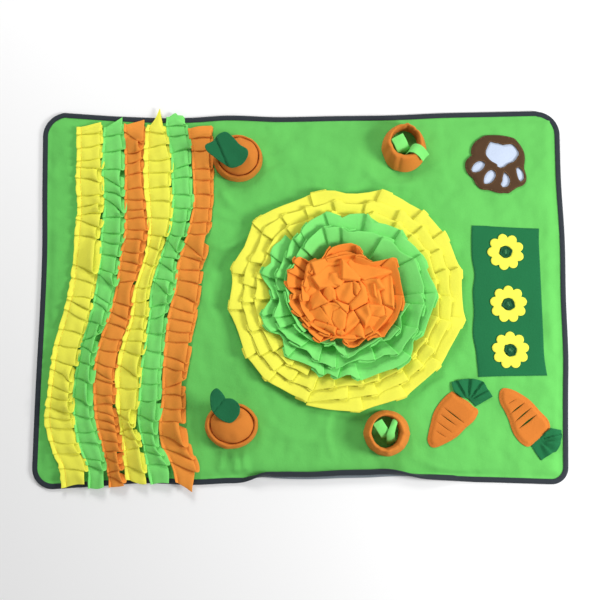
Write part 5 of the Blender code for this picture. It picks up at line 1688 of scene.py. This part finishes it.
def leaf(name, node, outline, middle_height, fold, side_up):
    """A leaf is cut flat, then raised on one side of its fold, cupped, tipped and lifted."""
    centre = np.array([p[:2] for p in outline], float).mean(axis=0)
    (x0, y0), (x1, y1) = fold
    length = math.hypot(x1 - x0, y1 - y0)
    nx, ny = -(y1 - y0) / length, (x1 - x0) / length

    def shape(points):
        x, y = points[:, 0].copy(), points[:, 1].copy()
        z = points[:, 2] - ON_PANEL - lift(x, y)
        aside = ((x - x0) * nx + (y - y0) * ny) * side_up
        crease = LOBE * smooth_step(-1.2, 1.2, aside) - GROOVE * np.exp(-(aside / 2.2) ** 2)
        away = np.hypot(x - centre[0], y - centre[1])
        cup = 0.0028 * away ** 2 + 1.4 * (hills(x, y, 17.0, 12) - 0.5)
        z = z + (crease * (z > 0.5 * LEAF_THICK) + 0.4 * crease) * 0.8 + cup - 1.2
        dy = y - centre[1]
        return np.stack([x, centre[1] + dy * math.cos(LEAF_LEAN) - z * math.sin(LEAF_LEAN),
                         middle_height - LEAF_THICK / 2 + z * math.cos(LEAF_LEAN)
                         + dy * math.sin(LEAF_LEAN)], axis=1)

    piece = felt(name, outline, 0.0, LEAF_THICK, leaf_felt, dip=0.7, groove=3.2, shape=shape,
                 thread="leaf")
    stands_for(piece, node)
    return piece


leaves = [leaf(*row) for row in LEAVES]
print(len(leaves), "leaves")

# %% [markdown]
# ## Stitches
# Every seam is a row of small lockstitches, each a short piece of thread with a dent at both ends.
# A Geometry Nodes tree lays them: the seam is resampled to even steps, one small rounded thread is
# set on each point along the seam's direction, and a seeded turn keeps the row from looking
# printed. One tree serves all seams; only its named inputs and its thread differ.

# %% Stitch tree
JITTER = 0.16  # radians by which a stitch may turn


def stitch_tree():
    """The Geometry Nodes tree that lays stitches along a line."""
    tree = bpy.data.node_groups.new("stitches_on_a_seam", "GeometryNodeTree")
    face = tree.interface
    face.new_socket("Seam", in_out="INPUT", socket_type="NodeSocketGeometry")
    for key in ("Spacing", "Length", "Width", "Jitter"):
        face.new_socket(key, in_out="INPUT", socket_type="NodeSocketFloat")
    face.new_socket("Seed", in_out="INPUT", socket_type="NodeSocketInt")
    face.new_socket("Thread", in_out="INPUT", socket_type="NodeSocketMaterial")
    face.new_socket("Stitches", in_out="OUTPUT", socket_type="NodeSocketGeometry")
    nodes, links = tree.nodes, tree.links

    def add(kind, inputs=(), **settings):
        """A node with its settings, and the values or links of its inputs."""
        node = nodes.new(kind)
        for key, value in settings.items():
            setattr(node, key, value)
        for key, value in dict(inputs).items():
            if isinstance(value, bpy.types.NodeSocket):
                links.new(value, node.inputs[key])
            else:
                node.inputs[key].default_value = value
        return node

    start = nodes.new("NodeGroupInput").outputs
    line = add("GeometryNodeMeshToCurve", {"Mesh": start["Seam"]}).outputs[0]
    even = add("GeometryNodeResampleCurve", {"Curve": line, "Length": start["Spacing"]},
               mode="LENGTH").outputs[0]
    thread = add("GeometryNodeMeshUVSphere", {"Segments": 6, "Rings": 5, "Radius": 0.5}).outputs[0]
    size = add("ShaderNodeCombineXYZ", {"X": start["Length"], "Y": start["Width"],
                                        "Z": start["Width"]}).outputs[0]
    thread = add("GeometryNodeTransform", {"Geometry": thread, "Scale": size}).outputs[0]
    direction = add("GeometryNodeInputTangent").outputs[0]
    turned = add("FunctionNodeAlignRotationToVector", {"Vector": direction}, axis="X").outputs[0]
    less = add("ShaderNodeMath", {0: start["Jitter"], 1: -1.0}, operation="MULTIPLY").outputs[0]
    swing = add("FunctionNodeRandomValue", {2: less, 3: start["Jitter"], "Seed": start["Seed"]},
                data_type="FLOAT").outputs[1]
    spin = add("ShaderNodeCombineXYZ", {"Z": swing}).outputs[0]
    turned = add("FunctionNodeRotateRotation", {"Rotation": turned, "Rotate By": spin},
                 rotation_space="GLOBAL").outputs[0]
    laid = add("GeometryNodeInstanceOnPoints", {"Points": even, "Instance": thread,
                                                "Rotation": turned}).outputs[0]
    real = add("GeometryNodeRealizeInstances", {"Geometry": laid}).outputs[0]
    done = add("GeometryNodeSetMaterial",
               {"Geometry": real, "Material": start["Thread"]}).outputs[0]
    links.new(done, nodes.new("NodeGroupOutput").inputs[0])
    return tree


tree = stitch_tree()
sockets = {item.name: item.identifier for item in tree.interface.items_tree}
print("the tree has", len(tree.nodes), "nodes; its sockets:", *sockets)

# %% Seams of the tape and the strips
TAPE_SEAM = 8.3  # mm from the outline
SEAM_END, SEAM_STEP, SEAM_NEAR = 3.0, 1.7, 1.6  # mm: bare ends, steps, and reach of each step

tape_line = around(TAPE_SEAM, 1100)
tape_line = curled(np.column_stack([tape_line, np.full(len(tape_line), TAPE_TOP + 0.02)]))
stitch_lines["tape"].append(np.concatenate([tape_line, tape_line[:1]]))
for row, line in zip(STRIPS, seams):  # a strip's seam runs over the highest layer at each place
    y = np.arange(line[:, 1].max() - SEAM_END, line[:, 1].min() + SEAM_END, -SEAM_STEP)
    near = np.abs(line[None, :, 1] - y[:, None]) < SEAM_NEAR
    high = np.where(near, line[None, :, 2], 0.0).max(axis=1)
    order = np.argsort(line[:, 1])
    x = np.interp(y, line[order, 1], line[order, 0])
    stitch_lines["ruffle_" + row[0].split("_")[-1]].append(
        np.column_stack([x, y, high])[high > 0.0])
print({name: len(lines) for name, lines in stitch_lines.items()})

# %% Rows of stitches
# thread, colour, then spacing, length and width of a stitch in mm, slot of the record
THREADS = (("tape", "1F2C39", 3.4, 2.8, 0.6, "binding_slate"),
           ("ruffle_yellow", "E3B51E", 3.6, 3.3, 1.2, "ruffle_yellow"),
           ("ruffle_green", "4FB548", 3.6, 2.8, 0.8, "ruffle_green"),
           ("ruffle_orange", "C7641C", 3.6, 2.8, 0.8, "ruffle_orange"),
           ("tan", "A98457", 2.6, 2.0, 0.6, "paw_brown"),
           ("leaf", "12603B", 3.0, 2.4, 0.6, "leaf_green"),
           ("dark_green", "145C38", 3.0, 2.4, 0.6, "panel_green"),
           ("yellow", "D4C936", 2.8, 2.2, 0.6, "daisy_yellow"),
           ("orange", "B9591A", 2.8, 2.2, 0.6, "carrot_orange"),
           ("pale", "6FBF80", 1.4, 1.3, 0.7, "daisy_heart"))


def thread_paint(name, code):
    """Twisted thread: fine slanting plies in colour and bump."""
    material, start, shader = blank(name, 0.6)
    place = start.node("ShaderNodeTexCoord", {}, {}, "Object")
    ply = noise(start, place, 2200.0, 1.0)
    colour = between(ply, tone(code, 0.75), tone(code, 1.3))
    dress(shader, colour, 0.3, 0.0003, ply)
    return material


def sew(number, name, code, spacing, length, width, slot):
    """One piece with all the stitches of one thread; number seeds their small turns."""
    points, edges = [], []
    for line in stitch_lines[name]:
        edges += [(len(points) + i, len(points) + i + 1) for i in range(len(line) - 1)]
        points += (line / 1000.0).tolist()
    mesh = bpy.data.meshes.new(name)
    mesh.from_pydata(points, edges, [])
    seam = put(name, mesh)
    laying = seam.modifiers.new("stitches", "NODES")
    laying.node_group = tree
    values = {"Spacing": spacing / 1000, "Length": length / 1000, "Width": width / 1000,
              "Jitter": JITTER, "Seed": number, "Thread": thread_paint(name + "_thread", code)}
    for key, value in values.items():
        laying[sockets[key]] = value
    view = bpy.context.evaluated_depsgraph_get()
    solid = bpy.data.meshes.new_from_object(seam.evaluated_get(view), depsgraph=view)
    solid.name = "stitches_" + name
    solid.shade_smooth()
    piece = put("stitches_" + name, solid)
    bpy.data.objects.remove(seam)
    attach(piece, "root")
    return piece


stitches = [sew(number, *row) for number, row in enumerate(THREADS)]
print("stitches:", sum(len(piece.data.polygons) for piece in stitches), "faces")

# %% [markdown]
# ## Finishes
# The pieces are listed under the record's colours that they wear, and counted; nothing is set on
# the pieces themselves.

# %% Slots of the record
SLOTS = {
    "ground_green": [ground], "backing_net": [backing], "binding_slate": [binding],
    "ruffle_yellow": strips[0::3], "ruffle_green": strips[1::3], "ruffle_orange": strips[2::3],
    "flower_yellow": [yellow_rows], "flower_green": [green_rows],
    "flower_orange": [orange_rows, heart], "pocket_orange": collars, "plush_orange": pads,
    "ribbon_green": ribbons, "leaf_green": leaves, "paw_white": [paw_lining], "paw_brown": [paw],
    "panel_green": [panel], "daisy_yellow": blooms, "daisy_heart": hearts,
    "carrot_orange": carrots, "carrot_leaves": tops,
}
for slot, pieces in SLOTS.items():
    for piece in pieces:
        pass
print(len(SLOTS), "slots,", sum(len(pieces) for pieces in SLOTS.values()), "pieces")
